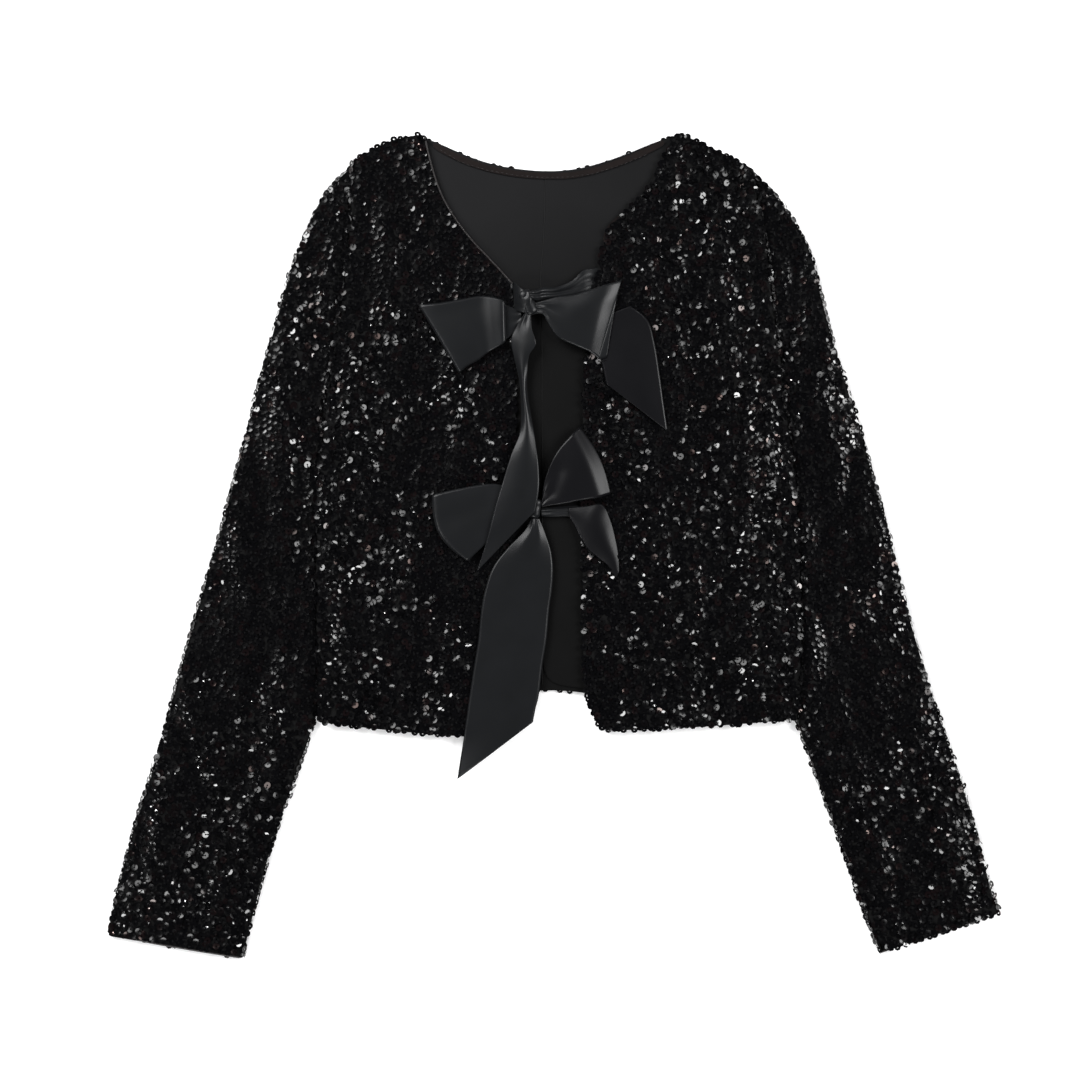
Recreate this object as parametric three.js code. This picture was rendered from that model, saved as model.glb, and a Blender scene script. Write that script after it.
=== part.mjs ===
// Cropped sequinned bolero with two satin ribbon bows, laid flat on its back.
// Millimetres. X runs across the jacket, Y runs from hem to neck, Z is up from the table.
// Left and right are those of someone looking down at it.
import * as THREE from "three";

// Cloth and ribbon, as thick as they lie
const CLOTH = 2.2; // sequinned cloth with its own lining, measured over the sequins
const LINING = 1.0;
const RIBBON = 1.0;
const SEAM_GAP = 0.3;
const LAY_GAP = 0.7; // between the sleeve and the body cloth that lies on it

// Folds, as radii at the middle of the cloth
const FLAT_FOLD = 1.4;
const ARMHOLE_ROLL = 2.2;
const ARMHOLE_TURN = 75; // degrees that the front's edge rolls down onto the sleeve head

// Heights of the layers at the middle of each, from the table up
const BACK_Z = CLOTH / 2;
const LINING_Z = CLOTH + SEAM_GAP + LINING / 2;
const BINDING_Z = LINING_Z + LINING + SEAM_GAP;
const FRONT_Z = BINDING_Z + LINING / 2 + SEAM_GAP + CLOTH / 2;
const SLEEVE_TUCKED_Z = BACK_Z + 2 * FLAT_FOLD;
const SLEEVE_PUFF_Z = 6.2;
const RETURN_Z = SLEEVE_TUCKED_Z + CLOTH + LAY_GAP;
const SIDE_Z = RETURN_Z + 2 * FLAT_FOLD;

// Narrow trims
const BINDING_WIDTH = 4.5;
const BINDING_SHOWS = 1.2;
const BINDING_FROM_EDGE = 1; // strip of cloth left outside the back neck's binding
const NECK_BINDING_SPAN = [0.045, 0.955]; // share of the neck's line that it follows
const FRONT_BINDING_SPAN = [0.07, 0.9];
const LINING_INSET = 3.5;

// Rows of numbers with named columns
const table = (names, rows) =>
  rows.map((row) => Object.fromEntries(names.map((name, i) => [name, row[i]])));

// Fronts, from the shoulder seam down to the hem. in: the neckline and centre-front edge. out: the
// armhole, then the fold at the side. bow: how far the row arches. rise: height of the cloth at
// the fold. fold: 0 rolls onto the sleeve head, 1 turns back over the sleeve, 2 also goes down to
// the side seam. X counts from the middle of the jacket outwards.
const FRONT_COLUMNS = ["inX", "inY", "outX", "outY", "bow", "rise", "fold"];
const FRONT_LEFT = table(FRONT_COLUMNS, [
  [97.5, 309, 152, 286.5, 5, 7.5, 0],
  [92.5, 284, 152.5, 275, 2, 7.5, 0],
  [83, 257, 153, 262, 0, 7.6, 0],
  [65, 231, 153.8, 245, 0, 7.7, 0],
  [47.5, 213, 155.3, 224, 0, 7.8, 0],
  [31.5, 196, 159, 198, 0, 7.9, 0],
  [30, 168, 162.5, 172, 0, 8.0, 0],
  [29, 139.5, 166.5, 147, 0, 8.2, 0],
  [28.5, 117, 170, 120, 0, 8.5, 0],
  [28, 94.5, 173.3, 94.5, 0, 8.9, 0],
  [27.8, 74, 175.5, 74, 0, SIDE_Z, 1],
  [27.8, 58, 177, 58, 0, SIDE_Z, 2],
  [28, 22, 178.6, 22, 0, SIDE_Z, 2],
  [29.5, -26, 179.3, -25, 0, SIDE_Z, 2],
  [31.5, -54, 179, -50, 0, SIDE_Z, 2],
  [33.8, -82, 178.5, -76, 0, SIDE_Z, 2],
  [36, -113, 177.5, -104, -1, SIDE_Z, 2],
  [38.3, -144.8, 176.3, -132, -1.5, SIDE_Z, 2],
]);
const FRONT_RIGHT = table(FRONT_COLUMNS, [
  [91.5, 311.3, 151.5, 282, 1, 7.5, 0],
  [82, 290, 153.5, 270, 0, 7.5, 0],
  [73, 272, 156, 257, 0, 7.6, 0],
  [63, 258.5, 159, 243, 0, 7.7, 0],
  [40.5, 240, 162, 226, 0, 7.8, 0],
  [35, 216, 164.3, 207, 0, 7.9, 0],
  [31.5, 192, 166.5, 185, 0, 8.0, 0],
  [27.5, 166, 169, 163, 0, 8.2, 0],
  [24, 138, 172, 140, 0, 8.5, 0],
  [22.5, 109.5, 175, 113, 0, 8.9, 0],
  [22.5, 76, 180, 76, 0, SIDE_Z, 1],
  [22.5, 60, 181.3, 60, 0, SIDE_Z, 2],
  [22.5, 22, 184.3, 22, 0, SIDE_Z, 2],
  [22.5, -25, 186.4, -25, 0, SIDE_Z, 2],
  [22.5, -50, 187.2, -50, 0, SIDE_Z, 2],
  [22.8, -80, 187.3, -75, 0, SIDE_Z, 2],
  [23.3, -109.5, 186.5, -106, -1, SIDE_Z, 2],
  [33.8, -138.8, 184, -130, -1.5, SIDE_Z, 2],
]);

// Sleeves, from the shoulder tip down to the cuff, each row square to the sleeve. out: the outer
// fold. in: the inner fold, tucked under the body until it passes the hem. outFold, inFold: radius
// of each. closed: 0 beside the armhole, 1 below the underarm.
const SLEEVE_COLUMNS = ["outX", "outY", "inX", "inY", "outFold", "inFold", "closed"];
const SLEEVE_LEFT = table(SLEEVE_COLUMNS, [
  [152.5, 285.5, 149.5, 281.5, 1.4, 1.4, 0],
  [161, 277.5, 150.2, 265, 1.5, 1.4, 0],
  [172.5, 267, 150.8, 248.3, 1.7, 1.4, 0],
  [183.8, 244.5, 150.8, 222, 2.0, 1.4, 0],
  [192.8, 222, 150.8, 195.8, 2.2, 1.4, 0],
  [201, 199.5, 150, 169.5, 2.3, 1.4, 0],
  [213, 154.5, 149.3, 124.5, 2.3, 1.4, 0],
  [219, 132, 149.5, 102, 2.3, 1.4, 0],
  [225, 109.5, 150, 79.5, 2.3, 1.4, 1],
  [237, 64.5, 150.8, 38.3, 2.3, 1.4, 1],
  [246, 30.8, 151.5, 6.5, 2.3, 1.4, 1],
  [255, -3, 152.3, -25.5, 2.3, 1.4, 1],
  [261.8, -25.5, 156.5, -50, 2.3, 1.4, 1],
  [268.5, -48, 162, -74.3, 2.3, 1.4, 1],
  [278, -82, 171, -108, 2.3, 1.4, 1],
  [287.3, -115.5, 181, -141.8, 2.3, 1.5, 1],
  [299.3, -160.5, 197.5, -186.8, 2.3, 1.9, 1],
  [307, -183, 205, -209, 2.3, 1.9, 1],
  [314.3, -205.5, 212.6, -231.8, 2.2, 1.9, 1],
  [327, -250.5, 223.5, -273, 2.0, 1.8, 1],
  [334.8, -290.3, 232, -307.5, 1.6, 1.6, 1],
]);
const SLEEVE_RIGHT = table(SLEEVE_COLUMNS, [
  [152, 280.5, 148.5, 276.5, 1.4, 1.4, 0],
  [159, 273.5, 151.5, 262.5, 1.5, 1.4, 0],
  [167, 266, 153, 249, 1.7, 1.4, 0],
  [183, 244.5, 154.5, 223.5, 2.0, 1.4, 0],
  [195, 222, 156, 197.3, 2.2, 1.4, 0],
  [200.3, 199.5, 156.8, 171, 2.3, 1.4, 0],
  [210.8, 154.5, 157.5, 126, 2.3, 1.4, 0],
  [218, 132, 158, 103, 2.3, 1.4, 0],
  [225, 109.5, 158.3, 81, 2.3, 1.4, 1],
  [238.5, 64.5, 158.3, 38.3, 2.3, 1.4, 1],
  [247.5, 31, 159, 6, 2.3, 1.4, 1],
  [256.5, -3, 159.8, -25.5, 2.3, 1.4, 1],
  [262, -25.5, 164, -50, 2.3, 1.4, 1],
  [267, -48, 169.5, -74.3, 2.3, 1.4, 1],
  [277, -82, 177, -108, 2.3, 1.4, 1],
  [286.5, -115.5, 185.5, -143.3, 2.3, 1.5, 1],
  [302.3, -160.5, 202, -186.8, 2.3, 1.9, 1],
  [309.5, -183, 210, -209, 2.3, 1.9, 1],
  [316.5, -205.5, 218.3, -231.8, 2.2, 1.9, 1],
  [327.8, -250.5, 231, -273, 2.0, 1.8, 1],
  [336, -275.3, 245.3, -306, 1.6, 1.6, 1],
]);

// Back panel. Its top line has the two shoulder seams with the neck scooped between them.
const BACK_TOP = table(["x", "y"], [
  [-151.9, 286.6],
  [-137.3, 294.8],
  [-114.8, 307],
  [-97.5, 309.5],
  [-65.3, 292.5],
  [-36, 284.3],
  [-6, 281.3],
  [20.3, 282.8],
  [57.8, 294.8],
  [91.5, 311.3],
  [110.3, 303],
  [132.8, 291],
  [151.3, 282],
]);
const BACK_HEM_SIDE_Y = -131;
const BACK_HEM_MIDDLE_Y = -108; // drawn up a little, so that it shows between the fronts
// Side edges of the back, up from the hem: the side seam, the underarm, the armhole and the tip.
const BACK_SIDES = table(["y", "left", "right"], [
  [-131, 144.3, 152.3],
  [-90, 144.3, 152.3],
  [-45, 144.3, 152.3],
  [0, 144.3, 152.3],
  [34, 144.3, 152.3],
  [70, 144.3, 152.3],
  [86, 148.8, 157.2],
  [125, 148.7, 157],
  [170, 149.3, 156],
  [196, 150.2, 155.3],
  [222, 150.2, 153.9],
  [248, 150.2, 152.4],
  [264, 149.5, 150.4],
  [281, 148.7, 147.5],
  [286.6, 151.9, 151.3],
]);
const BACK_SEAM_BEND = -7; // the lining's middle seam wanders this far to the left below the neck

// Soft folds in the fronts: ridges are positive, troughs negative. x is counted outwards.
const FOLD_COLUMNS = ["topX", "topY", "endX", "endY", "width", "height"];
const FRONT_FOLDS_LEFT = table(FOLD_COLUMNS, [
  [126, 262, 122, 60, 11, 1.7],
  [112, 240, 104, 20, 8, -0.9],
  [140, 150, 148, -60, 8, -0.8],
  [118, 10, 112, -138, 10, 1.6],
  [98, -30, 92, -140, 8, -0.9],
  [136, -20, 140, -134, 9, 1.2],
]);
const FRONT_FOLDS_RIGHT = table(FOLD_COLUMNS, [
  [124, 255, 134, 40, 11, 1.7],
  [106, 250, 116, 30, 9, -1.0],
  [100, 60, 104, -136, 10, 1.6],
  [126, 20, 124, -134, 8, -1.0],
  [72, -10, 66, -136, 9, 1.2],
  [146, 60, 150, -120, 9, 1.3],
]);
// Soft folds in the sleeves. row: where along the table a fold starts and ends. at: its place
// across, from 0 at the outer fold to 1 at the inner one.
const SLEEVE_FOLD_COLUMNS = ["row", "at", "endRow", "endAt", "width", "height"];
const SLEEVE_FOLDS = table(SLEEVE_FOLD_COLUMNS, [
  [2, 0.35, 8, 0.5, 9, -1.6],
  [4, 0.25, 11, 0.3, 10, 0.7],
  [7, 0.62, 12, 0.4, 7, -1.4],
  [9, 0.25, 15, 0.55, 8, -1.2],
  [12, 0.3, 17, 0.72, 9, 0.7],
  [13, 0.62, 19, 0.5, 8, -1.5],
  [15, 0.3, 20, 0.34, 9, -1.1],
]);

// The two sides. seamX: the side seam under the body. cuffLip: how far the under side of the cuff
// reaches past the upper side, which shows its lining.
const LEFT = {
  sign: -1,
  front: FRONT_LEFT,
  sleeve: SLEEVE_LEFT,
  folds: FRONT_FOLDS_LEFT,
  seamX: BACK_SIDES[0].left,
  cuffLip: 3,
};
const RIGHT = {
  sign: 1,
  front: FRONT_RIGHT,
  sleeve: SLEEVE_RIGHT,
  folds: FRONT_FOLDS_RIGHT,
  seamX: BACK_SIDES[0].right,
  cuffLip: 0.5,
};

const mix = THREE.MathUtils.lerp;
const smooth = THREE.MathUtils.smoothstep;
const radians = THREE.MathUtils.degToRad;

// Value of one column at a place along another, straight between the rows.
function lookUp(rows, key, at, value) {
  const ordered = [...rows].sort((a, b) => a[key] - b[key]);
  const last = ordered.length - 1;
  if (at <= ordered[0][key]) return ordered[0][value];
  if (at >= ordered[last][key]) return ordered[last][value];
  const i = ordered.findIndex((row) => row[key] >= at);
  const share = (at - ordered[i - 1][key]) / (ordered[i][key] - ordered[i - 1][key]);
  return mix(ordered[i - 1][value], ordered[i][value], share);
}

// Points along an arc in a section, from one angle to another, without its first point.
function arc(centreX, centreZ, radius, fromDegrees, toDegrees, steps) {
  const points = [];
  for (let i = 1; i <= steps; i++) {
    const angle = radians(mix(fromDegrees, toDegrees, i / steps));
    points.push([centreX + radius * Math.cos(angle), centreZ + radius * Math.sin(angle)]);
  }
  return points;
}

// Points along a straight run in a section, without its first point.
function run(from, to, steps) {
  const points = [];
  for (let i = 1; i <= steps; i++) {
    points.push([mix(from[0], to[0], i / steps), mix(from[1], to[1], i / steps)]);
  }
  return points;
}

// Direction of the cloth's outer side at a point of a grid. A panel's sections are each offset in
// their own plane, whose direction is given for the row, and a ribbon's follow its surface.
function outward(rows, r, c, planes) {
  const row = rows[r];
  const along = new THREE.Vector3().subVectors(
    row[Math.min(c + 1, row.length - 1)],
    row[Math.max(c - 1, 0)],
  );
  const down = planes
    ? planes[r]
    : new THREE.Vector3().subVectors(
        rows[Math.min(r + 1, rows.length - 1)][c],
        rows[Math.max(r - 1, 0)][c],
      );
  return along.cross(down).normalize();
}

// A closed wall of even thickness round a grid of points at the middle of the cloth.
function wall(rows, thickness, planes = null) {
  const across = rows[0].length;
  const count = rows.length * across;
  const positions = new Float32Array(count * 6);
  rows.forEach((row, r) =>
    row.forEach((point, c) => {
      const step = outward(rows, r, c, planes).multiplyScalar(thickness / 2);
      const i = r * across + c;
      point.clone().add(step).toArray(positions, i * 3);
      point.clone().sub(step).toArray(positions, (count + i) * 3);
    }),
  );
  const index = [];
  const quad = (a, b, c, d) => index.push(a, b, c, a, c, d);
  for (let r = 0; r < rows.length - 1; r++) {
    for (let c = 0; c < across - 1; c++) {
      const i = r * across + c;
      quad(i, i + across, i + across + 1, i + 1);
      const under = i + count;
      index.push(under, under + across + 1, under + across, under, under + 1, under + across + 1);
    }
  }
  const edge = [];
  for (let c = 0; c < across - 1; c++) edge.push(c);
  for (let r = 0; r < rows.length - 1; r++) edge.push(r * across + across - 1);
  for (let c = across - 1; c > 0; c--) edge.push((rows.length - 1) * across + c);
  for (let r = rows.length - 1; r > 0; r--) edge.push(r * across);
  edge.forEach((from, k) => {
    const to = edge[(k + 1) % edge.length];
    quad(from, to, to + count, from + count);
  });
  const geometry = new THREE.BufferGeometry();
  geometry.setAttribute("position", new THREE.BufferAttribute(positions, 3));
  geometry.setIndex(facingOut(positions, index));
  geometry.computeVertexNormals();
  return geometry;
}

// The faces as they are, or all turned round when they enclose a negative volume.
function facingOut(positions, index) {
  const corner = (k) => new THREE.Vector3().fromArray(positions, index[k] * 3);
  let volume = 0;
  for (let k = 0; k < index.length; k += 3) {
    volume += corner(k).dot(corner(k + 1).cross(corner(k + 2)));
  }
  if (volume > 0) return index;
  const turned = [];
  for (let k = 0; k < index.length; k += 3) {
    turned.push(index[k], index[k + 2], index[k + 1]);
  }
  return turned;
}

// Height that the soft folds add at a place of a front. They stay out of the ribbons' way.
const FOLDS_START_X = 86;
const FOLD_FADE = 24;
function foldHeight(folds, x, y) {
  let height = 0;
  for (const fold of folds) {
    const share = (y - fold.topY) / (fold.endY - fold.topY);
    const centre = mix(fold.topX, fold.endX, share);
    const bell = Math.exp(-(((x - centre) / fold.width) ** 2));
    const ends =
      smooth(fold.topY - y, -FOLD_FADE, FOLD_FADE) * smooth(y - fold.endY, -FOLD_FADE, FOLD_FADE);
    height += fold.height * bell * ends;
  }
  return height * smooth(x, FOLDS_START_X - FOLD_FADE, FOLDS_START_X);
}

// One section across a front, from its inner edge out to the side fold and back underneath.
const TOP_STEPS = 12;
const TURN_STEPS = 5;
const UNDER_STEPS = 8;
const RISE = 20; // strip over which the front climbs onto the tucked sleeve
const RISE_PAST = 4; // how far beyond the sleeve's inner fold it is all the way up
function frontSection(side, row) {
  const tuckX = lookUp(side.sleeve, "inY", row.outY, "inX");
  const radius = row.fold ? FLAT_FOLD : ARMHOLE_ROLL;
  const turn = row.fold ? 180 : ARMHOLE_TURN;
  const reach = (radius + CLOTH / 2) * Math.sin(radians(Math.min(turn, 90)));
  const foldX = row.outX - reach;
  const riseEnd = Math.min(tuckX + RISE_PAST, foldX - 1);
  const riseStart = riseEnd - RISE;
  const section = [];
  for (let i = 0; i <= TOP_STEPS; i++) {
    const x = mix(row.inX, foldX, i / TOP_STEPS);
    const y = mix(row.inY, row.outY, i / TOP_STEPS);
    const risen = smooth(x, riseStart, riseEnd);
    section.push([x, mix(FRONT_Z + foldHeight(side.folds, x, y), row.rise, risen)]);
  }
  const centreZ = row.rise - radius;
  if (row.fold === 0) {
    section.push(...arc(foldX, centreZ, radius, 90, 90 - turn, TURN_STEPS + UNDER_STEPS));
  } else {
    section.push(...arc(foldX, centreZ, radius, 90, -90, TURN_STEPS));
    section.push(...underSection(side, row, foldX, tuckX));
  }
  return section.map(([x, z]) => {
    const share = (x - row.inX) / (row.outX - row.inX);
    const y = mix(row.inY, row.outY, share) + row.bow * Math.sin(Math.PI * Math.min(share, 1));
    return new THREE.Vector3(side.sign * x, y, z);
  });
}

// The part of a front that lies under it: back over the tucked sleeve, then down to the side seam.
function underSection(side, row, foldX, tuckX) {
  const start = [foldX, RETURN_Z];
  const seamX = side.seamX + SEAM_GAP;
  const sleeveRadius = FLAT_FOLD + CLOTH / 2;
  const overX = Math.min(tuckX + sleeveRadius, foldX - 0.5);
  const overRadius = RETURN_Z - sleeveRadius;
  const footX = overX - overRadius - FLAT_FOLD;
  const down = [
    ...run(start, [overX, RETURN_Z], 2),
    ...arc(overX, sleeveRadius, overRadius, 90, 180, 3),
    ...arc(footX, sleeveRadius, FLAT_FOLD, 0, -90, 2),
    ...run([footX, BACK_Z], [seamX, BACK_Z], 1),
  ];
  return row.fold === 1 ? down.map(([x]) => [x, RETURN_Z]) : down;
}

function frontPanel(side) {
  const rows = side.front.map((row) => frontSection(side, row));
  const planes = rows.map(() => new THREE.Vector3(0, 1, 0));
  return wall(rows, CLOTH, planes);
}

// Height that the soft folds add on a sleeve.
function sleeveFoldHeight(rowNumber, s, width) {
  let height = 0;
  for (const fold of SLEEVE_FOLDS) {
    const share = (rowNumber - fold.row) / (fold.endRow - fold.row);
    const centre = mix(fold.at, fold.endAt, share) * width;
    const bell = Math.exp(-(((s - centre) / fold.width) ** 2));
    const ends = smooth(rowNumber - fold.row, -1, 1.5) * smooth(fold.endRow - rowNumber, -1, 1.5);
    height += fold.height * bell * ends;
  }
  return height;
}

// Distance along a sleeve's row, from its outer fold, at which the body's edge lies on it.
function bodyEdgeAt(side, row) {
  const steps = 200;
  for (let i = 0; i <= steps; i++) {
    const x = mix(row.outX, row.inX, i / steps);
    const y = mix(row.outY, row.inY, i / steps);
    const hem = side.front[side.front.length - 1];
    const edge = lookUp(side.front, "outY", y, "outX");
    if (y >= hem.outY && x <= edge) {
      return (Math.hypot(row.outX - row.inX, row.outY - row.inY) * i) / steps;
    }
  }
  return Infinity;
}

// One section round a sleeve: the upper side from the inner end out to the outer fold, the under
// side back in, and below the underarm the inner fold that closes it at the underarm seam.
const UPPER_STEPS = 10;
const LOWER_STEPS = 4;
const CLOSING_STEPS = 4;
const VALLEY = 3; // flat strip of sleeve beside the body's edge
const SLOPE = 15;
const OUTER_SLOPE = 24;
function sleeveSection(side, row, rowNumber, isCuff) {
  const width = Math.hypot(row.outX - row.inX, row.outY - row.inY);
  const outReach = row.outFold + CLOTH / 2;
  const inReach = row.closed ? row.inFold + CLOTH / 2 : 0;
  const outZ = BACK_Z + 2 * row.outFold;
  const inZ = BACK_Z + 2 * row.inFold;
  const innerEnd = width - inReach;
  const openFrom = row.closed ? innerEnd - SEAM_GAP : innerEnd;
  const puffEnd = Math.min(bodyEdgeAt(side, row), innerEnd);
  const upper = [];
  for (let i = 0; i <= UPPER_STEPS; i++) {
    const s = mix(openFrom, outReach, i / UPPER_STEPS);
    const flat = mix(outZ, inZ, smooth(s, outReach, Math.max(puffEnd, outReach + 1)));
    const puff = smooth(s, outReach, outReach + OUTER_SLOPE) * smooth(puffEnd - s, VALLEY, SLOPE);
    const full = SLEEVE_PUFF_Z + sleeveFoldHeight(rowNumber, s, width);
    upper.push([s, mix(flat, full, puff)]);
  }
  const turn = arc(outReach, BACK_Z + row.outFold, row.outFold, 90, 270, TURN_STEPS);
  const lowerEnd = row.closed ? innerEnd : innerEnd - 1;
  const lower = run([outReach, BACK_Z], [lowerEnd, BACK_Z], LOWER_STEPS);
  const closing = row.closed
    ? arc(innerEnd, BACK_Z + row.inFold, row.inFold, -90, 90, CLOSING_STEPS)
    : run([lowerEnd, BACK_Z], [innerEnd, BACK_Z], CLOSING_STEPS);
  const outerFold = new THREE.Vector3(side.sign * row.outX, row.outY, 0);
  const across = new THREE.Vector3(
    (side.sign * (row.inX - row.outX)) / width,
    (row.inY - row.outY) / width,
    0,
  );
  const down = new THREE.Vector3(-side.sign * across.y, side.sign * across.x, 0);
  const lip = down.clone().multiplyScalar(isCuff ? side.cuffLip : 0);
  const points = [...upper, ...turn, ...lower, ...closing].map(([s, z]) => {
    const point = outerFold.clone().addScaledVector(across, s);
    point.z = z;
    const lowness = 1 - smooth(z, BACK_Z, BACK_Z + 2 * row.outFold);
    return point.addScaledVector(lip, lowness);
  });
  return { points, plane: down };
}

function sleeve(side) {
  const last = side.sleeve.length - 1;
  const sections = side.sleeve.map((row, r) => sleeveSection(side, row, r, r === last));
  return wall(
    sections.map((section) => section.points),
    CLOTH,
    sections.map((section) => section.plane),
  );
}

// A point of the back, or of what lies on it. u runs across the top line's columns from 0 to 1,
// row is a row of the side table, and inset draws the edges in.
function backPoint(column, row, z, inset) {
  const top = BACK_TOP[column];
  const first = BACK_TOP[0];
  const lastTop = BACK_TOP[BACK_TOP.length - 1];
  const u = (top.x - first.x) / (lastTop.x - first.x);
  const tip = BACK_SIDES[BACK_SIDES.length - 1];
  const v = (row.y - BACK_HEM_SIDE_Y) / (tip.y - BACK_HEM_SIDE_Y);
  const straightX = mix(-(row.left - inset), row.right - inset, u);
  const bend = BACK_SEAM_BEND * Math.sin(Math.PI * u) * smooth(1 - v, 0, 0.25);
  const hemY = mix(BACK_HEM_SIDE_Y, BACK_HEM_MIDDLE_Y, Math.sin(Math.PI * u) ** 2) + inset;
  const topY = lookUp(BACK_TOP, "x", straightX, "y") - inset;
  return new THREE.Vector3(straightX + bend, mix(hemY, topY, v), z);
}

function backPanel() {
  const rows = BACK_SIDES.map((row) => BACK_TOP.map((_, c) => backPoint(c, row, BACK_Z, 0)));
  return wall(rows, CLOTH);
}

// Half of the back's lining, from one side to the middle seam.
const MIDDLE_COLUMN = 6;
function backLining(first, last, seamShift) {
  const rows = BACK_SIDES.map((row) => {
    const points = [];
    for (let c = first; c <= last; c++) points.push(backPoint(c, row, LINING_Z, LINING_INSET));
    return points;
  });
  const seam = first === MIDDLE_COLUMN ? 0 : last - first;
  rows.forEach((row) => (row[seam].x += seamShift));
  return wall(rows, LINING);
}

// Narrow binding on the inside of the back neck, following the neck's line.
function backNeckBinding() {
  const neck = BACK_TOP.slice(3, 10);
  const line = neck.map((point) => new THREE.Vector3(point.x, point.y, BINDING_Z));
  const curve = new THREE.CatmullRomCurve3(line);
  const rows = [];
  const steps = 20;
  for (let i = 0; i <= steps; i++) {
    const share = mix(...NECK_BINDING_SPAN, i / steps);
    const point = curve.getPoint(share);
    const tangent = curve.getTangent(share);
    const inward = new THREE.Vector3(tangent.y, -tangent.x, 0);
    rows.push([
      point.clone().addScaledVector(inward, BINDING_FROM_EDGE),
      point.clone().addScaledVector(inward, BINDING_FROM_EDGE + BINDING_WIDTH),
    ]);
  }
  return wall(rows, LINING);
}

// Binding under the neckline of a front, made from the front's own edge points.
function frontBinding(side, shows) {
  const neckRows = side.front.slice(0, 6).map((row) => frontSection(side, row));
  const edge = neckRows.map((row) => row[0].clone().setZ(BINDING_Z));
  const curve = new THREE.CatmullRomCurve3(edge);
  const rows = [];
  const steps = 14;
  for (let i = 0; i <= steps; i++) {
    const share = mix(...FRONT_BINDING_SPAN, i / steps);
    const point = curve.getPoint(share);
    const tangent = curve.getTangent(share);
    const intoCloth = new THREE.Vector3(-side.sign * tangent.y, side.sign * tangent.x, 0);
    rows.push([
      point.clone().addScaledVector(intoCloth, -shows),
      point.clone().addScaledVector(intoCloth, BINDING_WIDTH - shows),
    ]);
  }
  return wall(rows, LINING);
}

// Ribbons are given by rows along them: the two edges a and b as x, y and height, then crown, how
// far the middle stands up, and bulge, how far it runs ahead of the edges.
const RIBBON_COLUMNS = ["ax", "ay", "az", "bx", "by", "bz", "crown", "bulge"];
const UPPER_TIE_LEFT = table(RIBBON_COLUMNS, [
  [-40, 199.5, 4.3, -41, 189, 4.3, 0, 0],
  [-35, 199, 4.35, -35.5, 184, 4.35, 0, 0],
  [-29.4, 197, 4.6, -29, 181, 4.6, 0, 0],
  [-26.6, 194.6, 8.2, -26.6, 180.4, 8.2, 0.4, 0],
  [-24, 190, 11.5, -24, 180.8, 11.5, 0.6, 0],
]);
const UPPER_TIE_RIGHT = table(RIBBON_COLUMNS, [
  [-13.5, 190.5, 11, -13.5, 183.2, 11, 0.6, 0],
  [-8, 193.5, 8.4, -8, 185.2, 8.4, 0.6, 0],
  [2, 194, 7, 3, 186, 7, 0.3, 0],
  [14, 199, 6.8, 15, 187, 6.8, 0.3, 0],
  [23, 207, 5.8, 23, 189, 5.8, 0, 0],
  [30.4, 208.5, 4.4, 30.4, 192, 4.4, 0, 0],
  [38, 210, 4.3, 38, 193, 4.3, 0, 0],
]);
const UPPER_TAIL_RIGHT = table(RIBBON_COLUMNS, [
  [58, 180, 8.3, 26, 168, 8.3, 0, 0],
  [71, 169.5, 8.4, 31, 154.5, 8.3, 0.2, 0],
  [76.5, 151, 8.8, 34.5, 143, 8.3, 0.8, 0],
  [80, 129, 9.2, 37, 135, 8.3, 1.2, 0],
  [83, 107, 9.2, 38.5, 128, 8.3, 1.2, 0],
  [86, 86, 8.8, 40, 121.5, 8.3, 0.8, 0],
]);
const UPPER_TAIL_LONG = table(RIBBON_COLUMNS, [
  [-22, 171.8, 13.8, -15.5, 171.8, 12.6, 0.5, 0],
  [-28.5, 164, 14.4, -16.2, 163, 12.6, 1.5, 0],
  [-31.5, 154.5, 14.4, -13, 151, 12, 2, 0],
  [-29, 141, 12.2, -18, 142, 10.6, 2, 0],
  [-25.5, 126, 10.4, -19.5, 126, 9.6, 2.6, 0],
  [-24, 112.5, 10.4, -19, 112.5, 10, 2.6, 0],
  [-23.5, 98, 11, -16.5, 98, 10.8, 2.6, 0],
  [-25, 84, 12.6, -14, 83, 12.4, 2, 0],
  [-31, 69, 14.2, -11.5, 66, 14.4, 1.4, 0],
  [-37, 50, 14.4, -10.5, 54, 14.8, 1.2, 0],
  [-43.5, 28.5, 14.6, -10.5, 44, 15.2, 1, 0],
  [-49.5, 4.5, 14, -11.5, 35.5, 15.2, 0.6, 0],
  [-57, -19, 9.3, -13.5, 26, 15, 0.4, 0],
]);
const LOWER_TIE_LEFT = table(RIBBON_COLUMNS, [
  [-36, 31, 4.3, -36, 21, 4.3, 0, 0],
  [-31, 31.5, 4.3, -31, 22, 4.3, 0, 0],
  [-26, 31.5, 4.6, -26, 23, 4.6, 0, 0],
  [-22, 31, 6.2, -22, 24, 6.2, 0, 0],
  [-18.8, 30.5, 7.6, -18.8, 25, 7.6, 0, 0],
]);
const LOWER_TIE_RIGHT = table(RIBBON_COLUMNS, [
  [-8.5, 28, 9.4, -8.5, 22.4, 9.4, 0.4, 0],
  [-1, 29, 7.4, -1, 22, 7.4, 0.4, 0],
  [12, 30, 6, 12, 22.4, 6, 0.2, 0],
  [19, 30.4, 4.6, 19, 22, 4.6, 0, 0],
  [23, 31, 4.3, 23, 22, 4.3, 0, 0],
  [29, 31, 4.3, 29, 22, 4.3, 0, 0],
]);
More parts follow.
